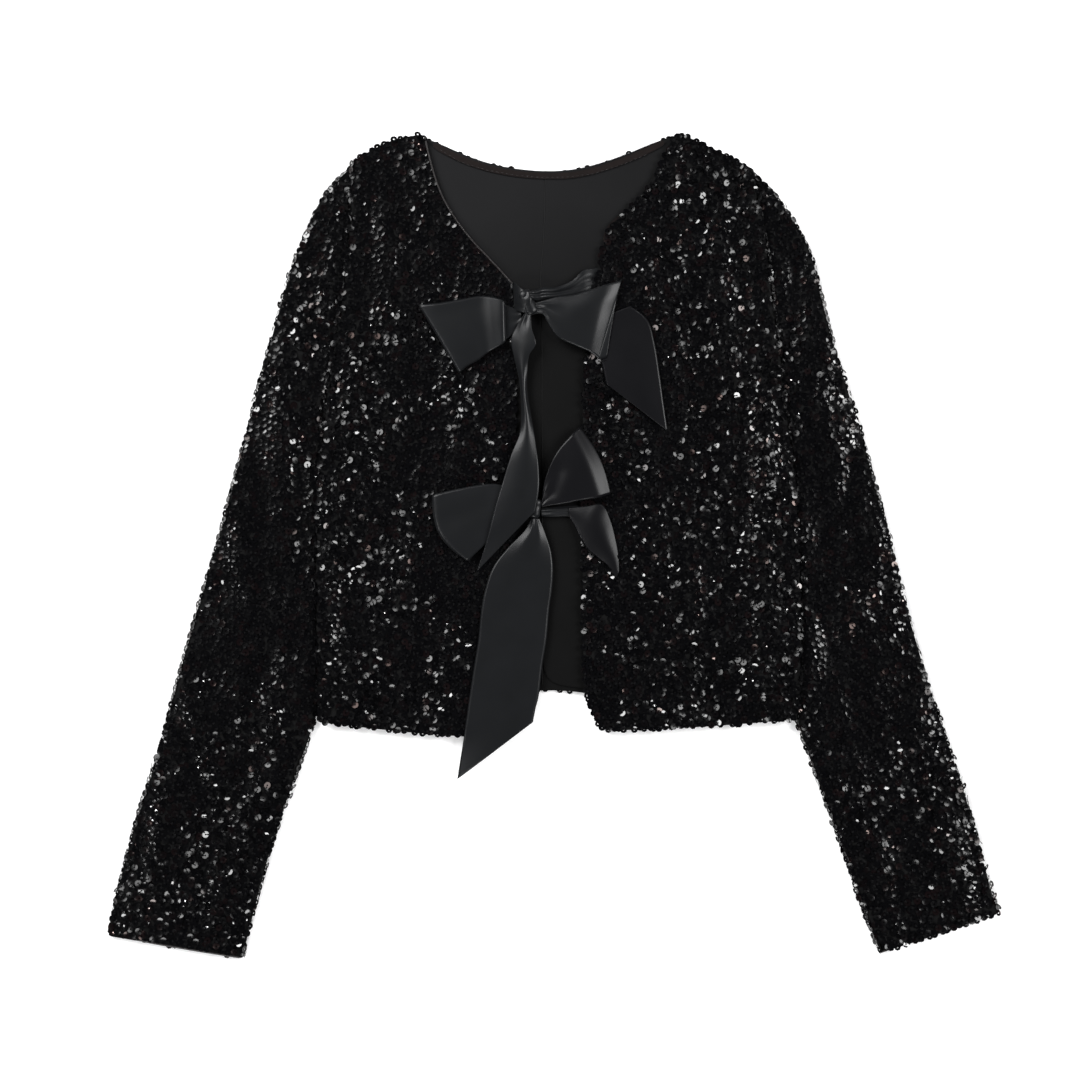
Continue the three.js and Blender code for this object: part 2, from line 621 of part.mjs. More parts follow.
const LOWER_TAIL_RIGHT = table(RIBBON_COLUMNS, [
  [12, 28.4, 7.7, 12, 22.6, 7.7, 0.3, 0],
  [26, 30, 8.8, 16.5, 15, 8.2, 0.8, 0],
  [37, 31, 10.4, 20.5, 6, 8.3, 0.8, 0],
  [43, 20, 10.8, 26, -2, 8.3, 0.4, 0],
  [46.5, 7, 10.6, 33, -8, 8.3, 0.2, 0],
  [49, -7.5, 9.8, 41, -14.5, 8.3, 0, 0],
  [49.4, -19.5, 8.6, 47.4, -24, 8.3, 0, 0],
]);
const LOWER_TAIL_LONG = table(RIBBON_COLUMNS, [
  [-16.5, 20.6, 10, -10.5, 20.6, 10, 0.6, 0],
  [-21, 12, 9.4, -6, 10, 9.4, 1.8, 0],
  [-34, -1.5, 8.8, -1.5, -4, 8.8, 2, 0],
  [-45, -16, 8.6, 0, -18, 8.6, 1.2, 0],
  [-51, -33, 8.5, -1, -34, 8.4, 0.5, 0],
  [-54, -49.5, 8.5, -3, -48, 8.3, 0.3, 0],
  [-56, -70.5, 8.5, -5, -70.5, 8.2, 0.4, 0],
  [-59, -89, 8.5, -8, -89, 8.2, 0.4, 0],
  [-63, -115.5, 8.5, -10.5, -111, 8.2, 0.3, 0],
  [-67, -144, 8.6, -13, -121.5, 8.4, 0.4, 0],
  [-72, -175.5, 2.4, -15, -132, 8.6, 2.4, 0],
]);
// Loops are given from the knot to the fold by their upper layer. top and under are the heights of
// the two layers, and the last row is the fold itself.
const LOOP_COLUMNS = ["ax", "ay", "bx", "by", "top", "under", "crown", "bulge"];
const UPPER_LOOP_LEFT = table(LOOP_COLUMNS, [
  [-23.5, 176.4, -23.9, 166.5, 12, 10.2, 0.3, 0],
  [-31.5, 178.4, -31.5, 157, 12, 9.2, 0.8, 0],
  [-41, 185, -39, 150, 12.2, 8.7, 1, 0],
  [-55, 187, -48, 145, 12.2, 8.6, 1.1, 0],
  [-70, 184.5, -56, 139.5, 12.2, 8.5, 1.1, 0],
  [-85, 182, -64, 135, 12.1, 8.4, 0.9, 0],
  [-97, 181, -69, 131, 11.8, 8.4, 0.4, 0],
  [-100.5, 180.5, -70.5, 130, 10.2, 10.2, 0, 0],
]);
const UPPER_LOOP_RIGHT = table(LOOP_COLUMNS, [
  [-13.6, 181.8, -13.6, 174, 12, 10.2, 0.3, 0],
  [-6, 184, -9, 168, 12.2, 9.4, 0.8, 0],
  [5, 187, -1, 162, 12.6, 9.2, 1, 0],
  [16.5, 188, 9, 156, 12.9, 9.4, 1, 0],
  [29, 192, 19, 150, 13.2, 9.7, 1, 0],
  [41, 196, 28, 145, 13.4, 9.9, 0.9, 0],
  [48, 198, 32.5, 142, 13.2, 9.9, 0.4, 0],
  [51, 199, 34.5, 140, 11.6, 11.6, 0, 0],
]);
const LOWER_LOOP_LEFT = table(LOOP_COLUMNS, [
  [-18.6, 33.6, -18.6, 25, 10.8, 9.2, 0.3, 0],
  [-26, 40, -26, 19.5, 11.6, 8.8, 0.6, 0],
  [-40, 46, -36, 13, 12, 8.5, 0.7, 0],
  [-53, 46, -44, 7.5, 12, 8.4, 0.8, 1],
  [-68, 43.5, -52, 0, 12, 8.4, 0.8, 3],
  [-80, 41, -58.5, -6, 11.9, 8.4, 0.6, 6],
  [-88, 39, -63, -10.5, 11.7, 8.4, 0.3, 8],
  [-90.5, 38, -64.5, -11, 10.1, 10.1, 0, 9],
]);
const LOWER_LOOP_RIGHT = table(LOOP_COLUMNS, [
  [-8.5, 35, -8.5, 29.2, 10.8, 9.2, 0.3, 0],
  [-6, 49.5, -1.5, 30.5, 11.6, 8.8, 0.6, 0],
  [-1, 63, 9, 31.8, 12, 8.5, 0.8, 0],
  [5, 73.5, 20, 34, 12.1, 8.5, 0.9, 1],
  [13, 82.5, 32, 36, 12.1, 8.5, 0.8, 2],
  [18, 88, 40, 38, 11.8, 8.4, 0.3, 3],
  [20, 89, 43, 39, 10.1, 10.1, 0, 4],
]);

// Smooth rows through the given ones, with the same number of new rows in each gap.
function smoothRows(rows, steps) {
  const names = Object.keys(rows[0]);
  const last = rows.length - 1;
  const made = [];
  for (let i = 0; i < last; i++) {
    const around = [rows[Math.max(i - 1, 0)], rows[i], rows[i + 1], rows[Math.min(i + 2, last)]];
    for (let k = 0; k < steps; k++) {
      const between = (name) => through(around.map((row) => row[name]), k / steps);
      made.push(Object.fromEntries(names.map((name) => [name, between(name)])));
    }
  }
  made.push(rows[last]);
  return made;
}

// Catmull-Rom value between the second and third of four numbers.
function through([a, b, c, d], t) {
  const slopeB = (c - a) / 2;
  const slopeC = (d - b) / 2;
  const t2 = t * t;
  const t3 = t2 * t;
  const places = (2 * t3 - 3 * t2 + 1) * b + (3 * t2 - 2 * t3) * c;
  return places + (t3 - 2 * t2 + t) * slopeB + (t3 - t2) * slopeC;
}

// The two layers of a loop as one run of ribbon rows, out along the top and back underneath.
function loopRows(rows) {
  const layer = (height, crown) => (row) => ({
    ax: row.ax,
    ay: row.ay,
    az: row[height],
    bx: row.bx,
    by: row.by,
    bz: row[height],
    crown: row.crown * crown,
    bulge: row.bulge,
  });
  const out = rows.map(layer("top", 1));
  const back = rows.slice(0, -1).reverse().map(layer("under", 0));
  return [...out, ...back];
}

// A ribbon as a wall through its rows. The bulge points away from the first row.
function ribbon(rows, steps, across) {
  const dense = smoothRows(rows, steps);
  const start = rows[0];
  const grid = dense.map((row) => {
    const a = new THREE.Vector3(row.ax, row.ay, row.az);
    const b = new THREE.Vector3(row.bx, row.by, row.bz);
    const middle = new THREE.Vector3().addVectors(a, b).multiplyScalar(0.5);
    const away = new THREE.Vector3(a.y - b.y, b.x - a.x, 0).normalize();
    const outwards = middle.sub(new THREE.Vector3(start.ax, start.ay, start.az));
    if (away.dot(outwards) < 0) away.negate();
    const points = [];
    for (let c = 0; c <= across; c++) {
      const share = c / across;
      const hump = Math.sin(Math.PI * share);
      const point = new THREE.Vector3().lerpVectors(a, b, share);
      point.addScaledVector(away, row.bulge * hump);
      point.z += row.crown * hump;
      points.push(point);
    }
    return points;
  });
  return wall(grid, RIBBON);
}

// A knot is a barrel lying along Y, where the ribbon is wrapped round itself.
const KNOT_PROFILE = table(["radius", "along"], [
  [0, -1],
  [0.72, -0.97],
  [0.93, -0.55],
  [1, 0],
  [0.93, 0.55],
  [0.72, 0.97],
  [0, 1],
]);
function knot(x, y, z, halfWidth, halfLength, halfHeight) {
  const profile = KNOT_PROFILE.map(
    (row) => new THREE.Vector2(row.radius * halfWidth, row.along * halfLength),
  );
  const geometry = new THREE.LatheGeometry(profile, 12);
  geometry.scale(1, 1, halfHeight / halfWidth);
  geometry.translate(x, y, z);
  return geometry;
}

// Materials
const finish = (color, roughness, metalness) =>
  new THREE.MeshStandardMaterial({ color, roughness, metalness });
const sequinned = () => finish("#141416", 0.3, 0.2);
const satinLining = () => finish("#26272a", 0.55, 0);
const binding = () => finish("#241d1b", 0.6, 0);
const satinRibbon = () => finish("#24262b", 0.35, 0);

const bolero = new THREE.Group();
function add(name, geometry, material) {
  const mesh = new THREE.Mesh(geometry, material);
  mesh.name = name;
  bolero.add(mesh);
}

add("back_panel", backPanel(), sequinned());
const lastColumn = BACK_TOP.length - 1;
add("back_lining_left", backLining(0, MIDDLE_COLUMN, -SEAM_GAP / 2), satinLining());
add("back_lining_right", backLining(MIDDLE_COLUMN, lastColumn, SEAM_GAP / 2), satinLining());
add("back_neck_binding", backNeckBinding(), binding());
add("front_left", frontPanel(LEFT), sequinned());
add("front_right", frontPanel(RIGHT), sequinned());
add("front_binding_left", frontBinding(LEFT, BINDING_SHOWS), binding());
add("front_binding_right", frontBinding(RIGHT, 0), binding());
add("sleeve_left", sleeve(LEFT), sequinned());
add("sleeve_right", sleeve(RIGHT), sequinned());

add("upper_knot", knot(-18.8, 182.3, 12, 4.6, 9.8, 4), satinRibbon());
add("upper_tie_left", ribbon(UPPER_TIE_LEFT, 2, 4), satinRibbon());
add("upper_tie_right", ribbon(UPPER_TIE_RIGHT, 2, 4), satinRibbon());
add("upper_loop_left", ribbon(loopRows(UPPER_LOOP_LEFT), 2, 6), satinRibbon());
add("upper_loop_right", ribbon(loopRows(UPPER_LOOP_RIGHT), 2, 6), satinRibbon());
add("upper_tail_right", ribbon(UPPER_TAIL_RIGHT, 2, 6), satinRibbon());
add("upper_tail_long", ribbon(UPPER_TAIL_LONG, 2, 6), satinRibbon());
add("lower_knot", knot(-13.5, 28.3, 10.2, 4.6, 7.2, 3.2), satinRibbon());
add("lower_tie_left", ribbon(LOWER_TIE_LEFT, 2, 4), satinRibbon());
add("lower_tie_right", ribbon(LOWER_TIE_RIGHT, 2, 4), satinRibbon());
add("lower_loop_left", ribbon(loopRows(LOWER_LOOP_LEFT), 2, 6), satinRibbon());
add("lower_loop_right", ribbon(loopRows(LOWER_LOOP_RIGHT), 2, 6), satinRibbon());
add("lower_tail_right", ribbon(LOWER_TAIL_RIGHT, 2, 6), satinRibbon());
add("lower_tail_long", ribbon(LOWER_TAIL_LONG, 2, 6), satinRibbon());

export default bolero;
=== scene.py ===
# %% [markdown]
# # A sequinned bolero, laid flat and seen from above
#
# The jacket is black net sewn all over with cupped foil sequins, lined with charcoal satin, and
# tied with two satin ribbon bows. The lesson goes from the room to the cloth, then to the sequins,
# and last to the ribbons, because each lies on the one before.
#
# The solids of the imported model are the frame. Panels, lining and ribbons each take the place of
# one of them, and the sequins and the sewing are added.

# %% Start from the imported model
import math

import bmesh
import bpy
import numpy as np
from mathutils import Matrix, Vector, noise
from mathutils.bvhtree import BVHTree


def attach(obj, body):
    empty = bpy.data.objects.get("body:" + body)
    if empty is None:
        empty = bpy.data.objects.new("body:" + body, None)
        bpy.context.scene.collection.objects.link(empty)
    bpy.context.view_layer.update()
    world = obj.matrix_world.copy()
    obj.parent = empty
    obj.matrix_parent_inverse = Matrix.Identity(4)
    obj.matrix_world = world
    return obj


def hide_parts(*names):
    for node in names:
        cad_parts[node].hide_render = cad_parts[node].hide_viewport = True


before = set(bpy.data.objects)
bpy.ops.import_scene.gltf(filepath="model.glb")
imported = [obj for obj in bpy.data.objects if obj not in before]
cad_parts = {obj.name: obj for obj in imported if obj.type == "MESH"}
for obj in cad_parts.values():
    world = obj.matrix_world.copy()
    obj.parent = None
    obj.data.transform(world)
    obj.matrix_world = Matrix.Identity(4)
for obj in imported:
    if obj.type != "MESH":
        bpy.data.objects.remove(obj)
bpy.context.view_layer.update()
MM = 0.001

# %% [markdown]
# ## Colours and shader nodes
#
# Colours are written as they are read on a screen, in hex, while shaders work in linear light, so
# one function turns one into the other. One more adds a shader or geometry node: the words that set
# it up, then its sockets, which are given numbers or are joined to another node. The last two start
# a material and mix two colours by a pattern.


# %% Helpers for colours, nodes and materials
def linear(hex_code):
    channels = [int(hex_code[i : i + 2], 16) / 255 for i in (1, 3, 5)]
    return [c / 12.92 if c <= 0.04045 else ((c + 0.055) / 1.055) ** 2.4 for c in channels] + [1.0]


def add_node(tree, kind, words=(), sockets=()):
    made = tree.nodes.new(kind)
    for word, value in dict(words).items():
        setattr(made, word, value)
    for socket, value in dict(sockets).items():
        if isinstance(value, bpy.types.NodeSocket):
            tree.links.new(value, made.inputs[socket])
        else:
            made.inputs[socket].default_value = value
    return made


def new_material(name, roughness, **constants):
    material = bpy.data.materials.new(name)
    material.use_nodes = True
    tree = material.node_tree
    tree.nodes.clear()
    shader = add_node(tree, "ShaderNodeBsdfPrincipled", sockets={"Roughness": roughness, **constants})
    add_node(tree, "ShaderNodeOutputMaterial", sockets={"Surface": shader.outputs[0]})
    return material, tree, shader


def two_tone(tree, amount, dark, light):
    mixed = add_node(
        tree,
        "ShaderNodeMix",
        {"data_type": "RGBA"},
        {"Factor": amount, "A": linear(dark), "B": linear(light)},
    )
    return mixed.outputs["Result"]


# %% [markdown]
# ## The room
#
# The jacket lies on white board under soft lamps. Black foil shows nothing but what it reflects, so
# the room round it is dark, and lamps at middle height give the glints: a broad one from the upper
# left, a slimmer one from the right, a faint one from below and two small ones for the sparks. The
# board still comes out white, because it takes light from all of them and has a faint painted glow.

# %% White board, made of matt card
BOARD_SIZE = 5.0
BOARD_DROP_MM = 1.3  # the sequins on the underside reach about this far below the solids
board_paint, tree, shader = new_material("matt_white_card", 0.9, **{"Specular IOR Level": 0.2})
place = add_node(tree, "ShaderNodeTexCoord")
fibres = add_node(
    tree, "ShaderNodeTexNoise", sockets={"Vector": place.outputs["Object"], "Scale": 900.0, "Detail": 2.0}
)
tree.links.new(two_tone(tree, fibres.outputs["Fac"], "#f4f4f4", "#fafafa"), shader.inputs["Base Color"])
# The card is given a faint glow of its own, painted light that washes out the thin shadow round the cloth.
PAINTED_GLOW = 0.18
shader.inputs["Emission Color"].default_value = linear("#ffffff")
shader.inputs["Emission Strength"].default_value = PAINTED_GLOW

board_mesh = bmesh.new()
bmesh.ops.create_grid(board_mesh, x_segments=1, y_segments=1, size=BOARD_SIZE / 2)
bmesh.ops.translate(board_mesh, verts=board_mesh.verts, vec=(0, 0, -BOARD_DROP_MM * MM))
board = bpy.data.objects.new("board", bpy.data.meshes.new("board"))
board_mesh.to_mesh(board.data)
board_mesh.free()
board.data.materials.append(board_paint)
bpy.context.scene.collection.objects.link(board)
print("board:", BOARD_SIZE, "m wide")

# %% [markdown]
# Area lamps are used, because foil mirrors the shape of a lamp: a broad lamp fills a whole sequin,
# and a small one gives a spark. All of them face the middle of the jacket. The world behind them
# has two colours, one for the camera and one for all that is reflected.

# %% Lamps and the dark room
# Each lamp: name, place in metres, width and length in metres, power in watts.
LAMPS = [
    ("upper_left_lamp", (-1.2, 1.1, 1.5), 1.25, 1.25, 56),
    ("right_lamp", (1.65, 0.3, 1.45), 0.8, 1.3, 43),
    ("lower_lamp", (-0.35, -1.65, 1.4), 1.1, 0.5, 23),
    ("small_left_lamp", (-1.35, -0.5, 1.5), 0.14, 0.14, 4),
    ("small_right_lamp", (0.8, 1.3, 1.5), 0.14, 0.14, 4),
]
for name, at, width, length, power in LAMPS:
    data = bpy.data.lights.new(name, "AREA")
    data.shape = "RECTANGLE"
    data.size, data.size_y, data.energy = width, length, power
    lamp = bpy.data.objects.new(name, data)
    lamp.location = at
    lamp.rotation_euler = (-Vector(at)).to_track_quat("-Z", "Y").to_euler()
    bpy.context.scene.collection.objects.link(lamp)

room = bpy.data.worlds.new("dark_room")
room.use_nodes = True
# What the camera sees past the board is a pale wall; all reflections see the dark room.
seen = add_node(room.node_tree, "ShaderNodeLightPath")
wall = two_tone(room.node_tree, seen.outputs["Is Camera Ray"], "#27272a", "#e9eaec")
room.node_tree.links.new(wall, room.node_tree.nodes["Background"].inputs["Color"])
bpy.context.scene.world = room
bpy.context.scene.view_settings.view_transform = "Standard"
print("lamps:", len(LAMPS))

# %% [markdown]
# The photo shows the jacket straight from above with no perspective to speak of, so a long lens
# looks down from far off. The view's width is the photo's 1080 pixels at 0.75 mm each, measured
# halfway up the jacket.

# %% Camera, straight above
LENS_MM, SENSOR_MM = 85.0, 36.0
VIEW_WIDTH = 0.810
VIEW_MIDDLE = (-0.00975, 0.0045)
HALFWAY_UP_MM = 8
camera = bpy.data.objects.new("camera", bpy.data.cameras.new("camera"))
camera.data.lens, camera.data.sensor_width = LENS_MM, SENSOR_MM
camera.location = (*VIEW_MIDDLE, HALFWAY_UP_MM * MM + VIEW_WIDTH * LENS_MM / SENSOR_MM)
bpy.context.scene.collection.objects.link(camera)
bpy.context.scene.camera = camera
print("camera height in mm:", round(camera.location.z / MM))

# %% [markdown]
# ## The finishes
#
# The whole jacket is black, so the finishes differ in their shine far more than in their colour.
#
# The ground that the sequins are sewn to is polyester net, knitted with holes of about a millimetre.
# It is matt and nearly swallows the light between the sequins. A Voronoi pattern gives cells of that
# size, darker in the holes, and a slight bump.

# %% Knitted polyester net
NET_HOLE_MM = 1.3  # the real net's holes are 0.8 mm; drawn coarser so that they show
net_ground, tree, shader = new_material("knitted_polyester_net", 0.85, **{"Specular IOR Level": 0.15})
place = add_node(tree, "ShaderNodeTexCoord")
holes = add_node(
    tree,
    "ShaderNodeTexVoronoi",
    sockets={"Vector": place.outputs["Object"], "Scale": 1 / (NET_HOLE_MM * MM)},
)
tree.links.new(two_tone(tree, holes.outputs["Distance"], "#040404", "#070708"), shader.inputs["Base Color"])
bump = add_node(
    tree,
    "ShaderNodeBump",
    sockets={"Height": holes.outputs["Distance"], "Strength": 0.5, "Distance": 0.3 * MM},
)
tree.links.new(bump.outputs[0], shader.inputs["Normal"])
print(net_ground.name, "with holes of", NET_HOLE_MM, "mm")

# %% [markdown]
# The lining is woven acetate satin. Its long floating threads make it smooth, and under soft light
# it shows a dull, even shine. Its tone is painted: painted shade darkens it below the bow and toward
# the right, where the fronts shade it, it is painted lighter in the neck, and soft patches vary it.

# %% Woven acetate satin, the lining
PATCH_MM, PATCH_SHARE = 45, 0.3  # size of the soft patches, and how much they count
RIPPLE_SCALE_MM = 48  # a slanting wave texture of this scale has faint ripples about 21 mm apart
# Each drift of the painted shade: its axis, where it starts and ends in mm, and the tone there.
# Below the bow and toward the right the lining is painted darker, as in shade, than in the neck.
PAINTED_SHADE_DRIFTS = [("Y", 150, 260, -0.15, 0.7), ("X", -80, 60, 0.3, -0.15)]
lining_satin, tree, shader = new_material("acetate_lining_satin", 0.52, **{"Specular IOR Level": 0.09})
place = add_node(tree, "ShaderNodeTexCoord")
patches = add_node(
    tree,
    "ShaderNodeTexNoise",
    sockets={"Vector": place.outputs["Object"], "Scale": 1 / (PATCH_MM * MM), "Detail": 2.0},
)
where = add_node(tree, "ShaderNodeSeparateXYZ", sockets={"Vector": place.outputs["Object"]})
neckward, leftward = (
    add_node(
        tree,
        "ShaderNodeMapRange",
        sockets={
            "Value": where.outputs[axis],
            "From Min": start * MM,
            "From Max": end * MM,
            "To Min": first,
            "To Max": last,
        },
    )
    for axis, start, end, first, last in PAINTED_SHADE_DRIFTS
)
# The tone adds the painted shade of both drifts to the random patches.
tone = neckward
for other, share in ((leftward, 1.0), (patches, PATCH_SHARE)):
    tone = add_node(
        tree,
        "ShaderNodeMath",
        {"operation": "MULTIPLY_ADD"},
        {0: other.outputs[0], 1: share, 2: tone.outputs[0]},
    )
tree.links.new(two_tone(tree, tone.outputs[0], "#050505", "#161617"), shader.inputs["Base Color"])
ripples = add_node(
    tree,
    "ShaderNodeTexWave",
    {"wave_type": "BANDS", "bands_direction": "DIAGONAL"},
    {
        "Vector": place.outputs["Object"],
        "Scale": 1 / (RIPPLE_SCALE_MM * MM),
        "Distortion": 0.6,
        "Detail": 1.0,
    },
)
bump = add_node(
    tree,
    "ShaderNodeBump",
    sockets={"Height": ripples.outputs["Fac"], "Strength": 0.08, "Distance": 0.1 * MM},
)
tree.links.new(bump.outputs[0], shader.inputs["Normal"])
print(lining_satin.name, "with patches of", PATCH_MM, "mm")

# %% [markdown]
# The binding is the same satin in a browner black, cut on the bias and pressed flat. Pressing breaks
# its shine, so it looks matt and a little uneven. A small noise sets both its tone and its bump.

# %% Bias-cut satin, pressed flat
PRESSED_MM = 8  # size of the patches that the iron left
binding_satin, tree, shader = new_material("bias_cut_satin_binding", 0.5, **{"Specular IOR Level": 0.12})
place = add_node(tree, "ShaderNodeTexCoord")
patches = add_node(
    tree,
    "ShaderNodeTexNoise",
    sockets={"Vector": place.outputs["Object"], "Scale": 1 / (PRESSED_MM * MM), "Detail": 3.0},
)
tree.links.new(two_tone(tree, patches.outputs["Fac"], "#0b0706", "#181110"), shader.inputs["Base Color"])
bump = add_node(
    tree, "ShaderNodeBump", sockets={"Height": patches.outputs["Fac"], "Strength": 0.3, "Distance": 0.4 * MM}
)
tree.links.new(bump.outputs[0], shader.inputs["Normal"])
print(binding_satin.name, "with patches of", PRESSED_MM, "mm")

# %% [markdown]
# On the edges the same satin is rolled tight, which pulls it smooth. A round edge catches a lamp
# somewhere along its whole length, and its colour is painted lighter than the binding's as a painted
# highlight, so together they make a thin light line.

# %% Rolled satin, painted lighter as a highlight
TWIST_MM = 1.6  # size of the small twists that rolling leaves in the cloth
rolled_satin_painted_highlight, tree, shader = new_material("rolled_satin_edge", 0.3, **{"Specular IOR Level": 0.5})
place = add_node(tree, "ShaderNodeTexCoord")
twist = add_node(
    tree,
    "ShaderNodeTexNoise",
    sockets={"Vector": place.outputs["Object"], "Scale": 1 / (TWIST_MM * MM), "Detail": 2.0},
)
tree.links.new(two_tone(tree, twist.outputs["Fac"], "#1c1a1a", "#2c2929"), shader.inputs["Base Color"])
bump = add_node(
    tree, "ShaderNodeBump", sockets={"Height": twist.outputs["Fac"], "Strength": 0.3, "Distance": 0.2 * MM}
)
tree.links.new(bump.outputs[0], shader.inputs["Normal"])
print(rolled_satin_painted_highlight.name, "with twists of", TWIST_MM, "mm")

# %% [markdown]
# The bows are woven satin ribbon. It is smooth and shines in soft broad bands across each fold. A
# duller, darker copy of the same satin is painted shade on three ribbons. The ribbon's own UV map
# runs across it in u and along it in v, in metres, so the threads follow every fold.

# %% Woven satin ribbon, and a darker copy as painted shade
THREAD_MM = 1.1  # the real threads are 0.2 mm apart; drawn coarser so that they show
CLOUD_MM = 22  # size of the slow changes of tone along the ribbon
WAVE_UNIT = 20  # a straight wave texture of scale 1 turns through this many radians in each unit


def woven_ribbon(name, roughness, specular, sheen, dark, light):
    ribbon, tree, shader = new_material(name, roughness, **{"Specular IOR Level": specular})
    shader.inputs["Sheen Weight"].default_value = sheen
    along = add_node(tree, "ShaderNodeUVMap", {"uv_map": "along_ribbon"})
    threads = add_node(
        tree,
        "ShaderNodeTexWave",
        {"wave_type": "BANDS", "bands_direction": "Y"},
        {
            "Vector": along.outputs[0],
            "Scale": 2 * math.pi / (THREAD_MM * MM) / WAVE_UNIT,
            "Distortion": 1.5,
            "Detail": 1.0,
        },
    )
    clouds = add_node(
        tree,
        "ShaderNodeTexNoise",
        sockets={"Vector": along.outputs[0], "Scale": 1 / (CLOUD_MM * MM), "Detail": 2.0},
    )
    tree.links.new(two_tone(tree, clouds.outputs["Fac"], dark, light), shader.inputs["Base Color"])
    bump = add_node(
        tree,
        "ShaderNodeBump",
        sockets={"Height": threads.outputs["Fac"], "Strength": 0.04, "Distance": 0.1 * MM},
    )
    tree.links.new(bump.outputs[0], shader.inputs["Normal"])
    return ribbon


ribbon_satin = woven_ribbon("satin_ribbon_face", 0.31, 0.22, 0.02, "#101112", "#161719")
# The second is the same satin painted darker and duller, a painted shade.
ribbon_painted_shade = woven_ribbon("satin_ribbon_reverse", 0.3, 0.18, 0.0, "#0b0b0d", "#101012")
print(ribbon_satin.name, "and", ribbon_painted_shade.name, "with threads", THREAD_MM, "mm apart")

# %% [markdown]
# The sequins are punched from black polyester foil, which is as glossy as lacquer. No two are quite
# alike: each has its own shade, a few of them a brownish glint, and its own polish. Both come from an
# attribute that every sequin is given when it is sewn on. The polish sets how sharp the shine is and,
# to a high power, how strong, so that most sequins shine softly and one in ten or so flashes.

# %% Punched polyester foil
FLASH_POWER = 6
SHINE = (0.17, 0.75)  # specular level of the dullest sequin and of the brightest
sequin_foil, tree, shader = new_material("black_polyester_sequin_foil", 0.2, **{"Specular IOR Level": 0.2})
shader.inputs["IOR"].default_value = 1.6
shade = add_node(tree, "ShaderNodeAttribute", {"attribute_name": "shade"})
tints = add_node(tree, "ShaderNodeValToRGB", sockets={"Fac": shade.outputs["Fac"]})
ramp = tints.color_ramp
for at, colour in ((0.0, "#040405"), (0.8, "#060607"), (0.94, "#0a0708"), (1.0, "#0f0a0b")):
    stop = ramp.elements[0] if at == 0 else ramp.elements[-1] if at == 1 else ramp.elements.new(at)
    stop.position, stop.color = at, linear(colour)
tree.links.new(tints.outputs["Color"], shader.inputs["Base Color"])
warm = add_node(
    tree, "ShaderNodeMapRange", sockets={"Value": shade.outputs["Fac"], "From Min": 0.86, "From Max": 0.98}
)
glint = two_tone(tree, warm.outputs["Result"], "#ffffff", "#eed2ca")
tree.links.new(glint, shader.inputs["Specular Tint"])
polish = add_node(tree, "ShaderNodeAttribute", {"attribute_name": "polish"})
gloss = add_node(
    tree,
    "ShaderNodeMapRange",
    sockets={"Value": polish.outputs["Fac"], "To Min": 0.26, "To Max": 0.09},
)
tree.links.new(gloss.outputs["Result"], shader.inputs["Roughness"])
flash = add_node(tree, "ShaderNodeMath", {"operation": "POWER"}, {0: polish.outputs["Fac"], 1: FLASH_POWER})
shine = add_node(
    tree, "ShaderNodeMapRange", sockets={"Value": flash.outputs[0], "To Min": SHINE[0], "To Max": SHINE[1]}
)
tree.links.new(shine.outputs["Result"], shader.inputs["Specular IOR Level"])
print(sequin_foil.name, "with a specular level of", SHINE)

# %% [markdown]
# Each sequin is held by a stitch of spun polyester thread from its hole to its rim. The thread is
# matt, so a lit sequin looks like a ring with a gap.

# %% Spun sewing thread
sewing_thread, tree, shader = new_material("black_sewing_thread", 0.8, **{"Specular IOR Level": 0.1})
shader.inputs["Base Color"].default_value = linear("#060607")
print(sewing_thread.name)

# %% [markdown]
# ## The cloth
#
# Each panel is a thin shell on the form of its solid. A copy of the solid's mesh is merged, its loose
# triangles are joined back into four-sided faces, and a subdivision rounds the coarse steps. The
# edges of the cloth are kept sharp, or the subdivision would draw them in.
#
# A flood from one face that is surely outside, which stops at those edges, finds the whole outer
# side, whatever way the cloth is folded. That side is drawn in by the height of the sequins. The
# other side is the lining, as a maker would have it.

# %% From a solid to a fine shell with two sides
SEQUIN_ROOM = 0.9 * MM
FOLD_ANGLE = math.radians(55)  # the flood stops at a sharper edge than this
LEVEL = 0.95  # the upward share of a level face's normal
# How far from flat a pair of triangles may be, and its corners from square, to be joined.
BENT, SKEWED = math.radians(40), math.radians(60)
OUTSIDE, INSIDE, EDGE = 0, 1, 2


def flood(start):
    """All faces that can be reached from one without crossing a sharp edge."""
    found, waiting = {start}, [start]
    while waiting:
        for edge in waiting.pop().edges:
            if edge.calc_face_angle(math.pi) < FOLD_ANGLE:
                new = [face for face in edge.link_faces if face not in found]
                found.update(new)
                waiting.extend(new)
    return found


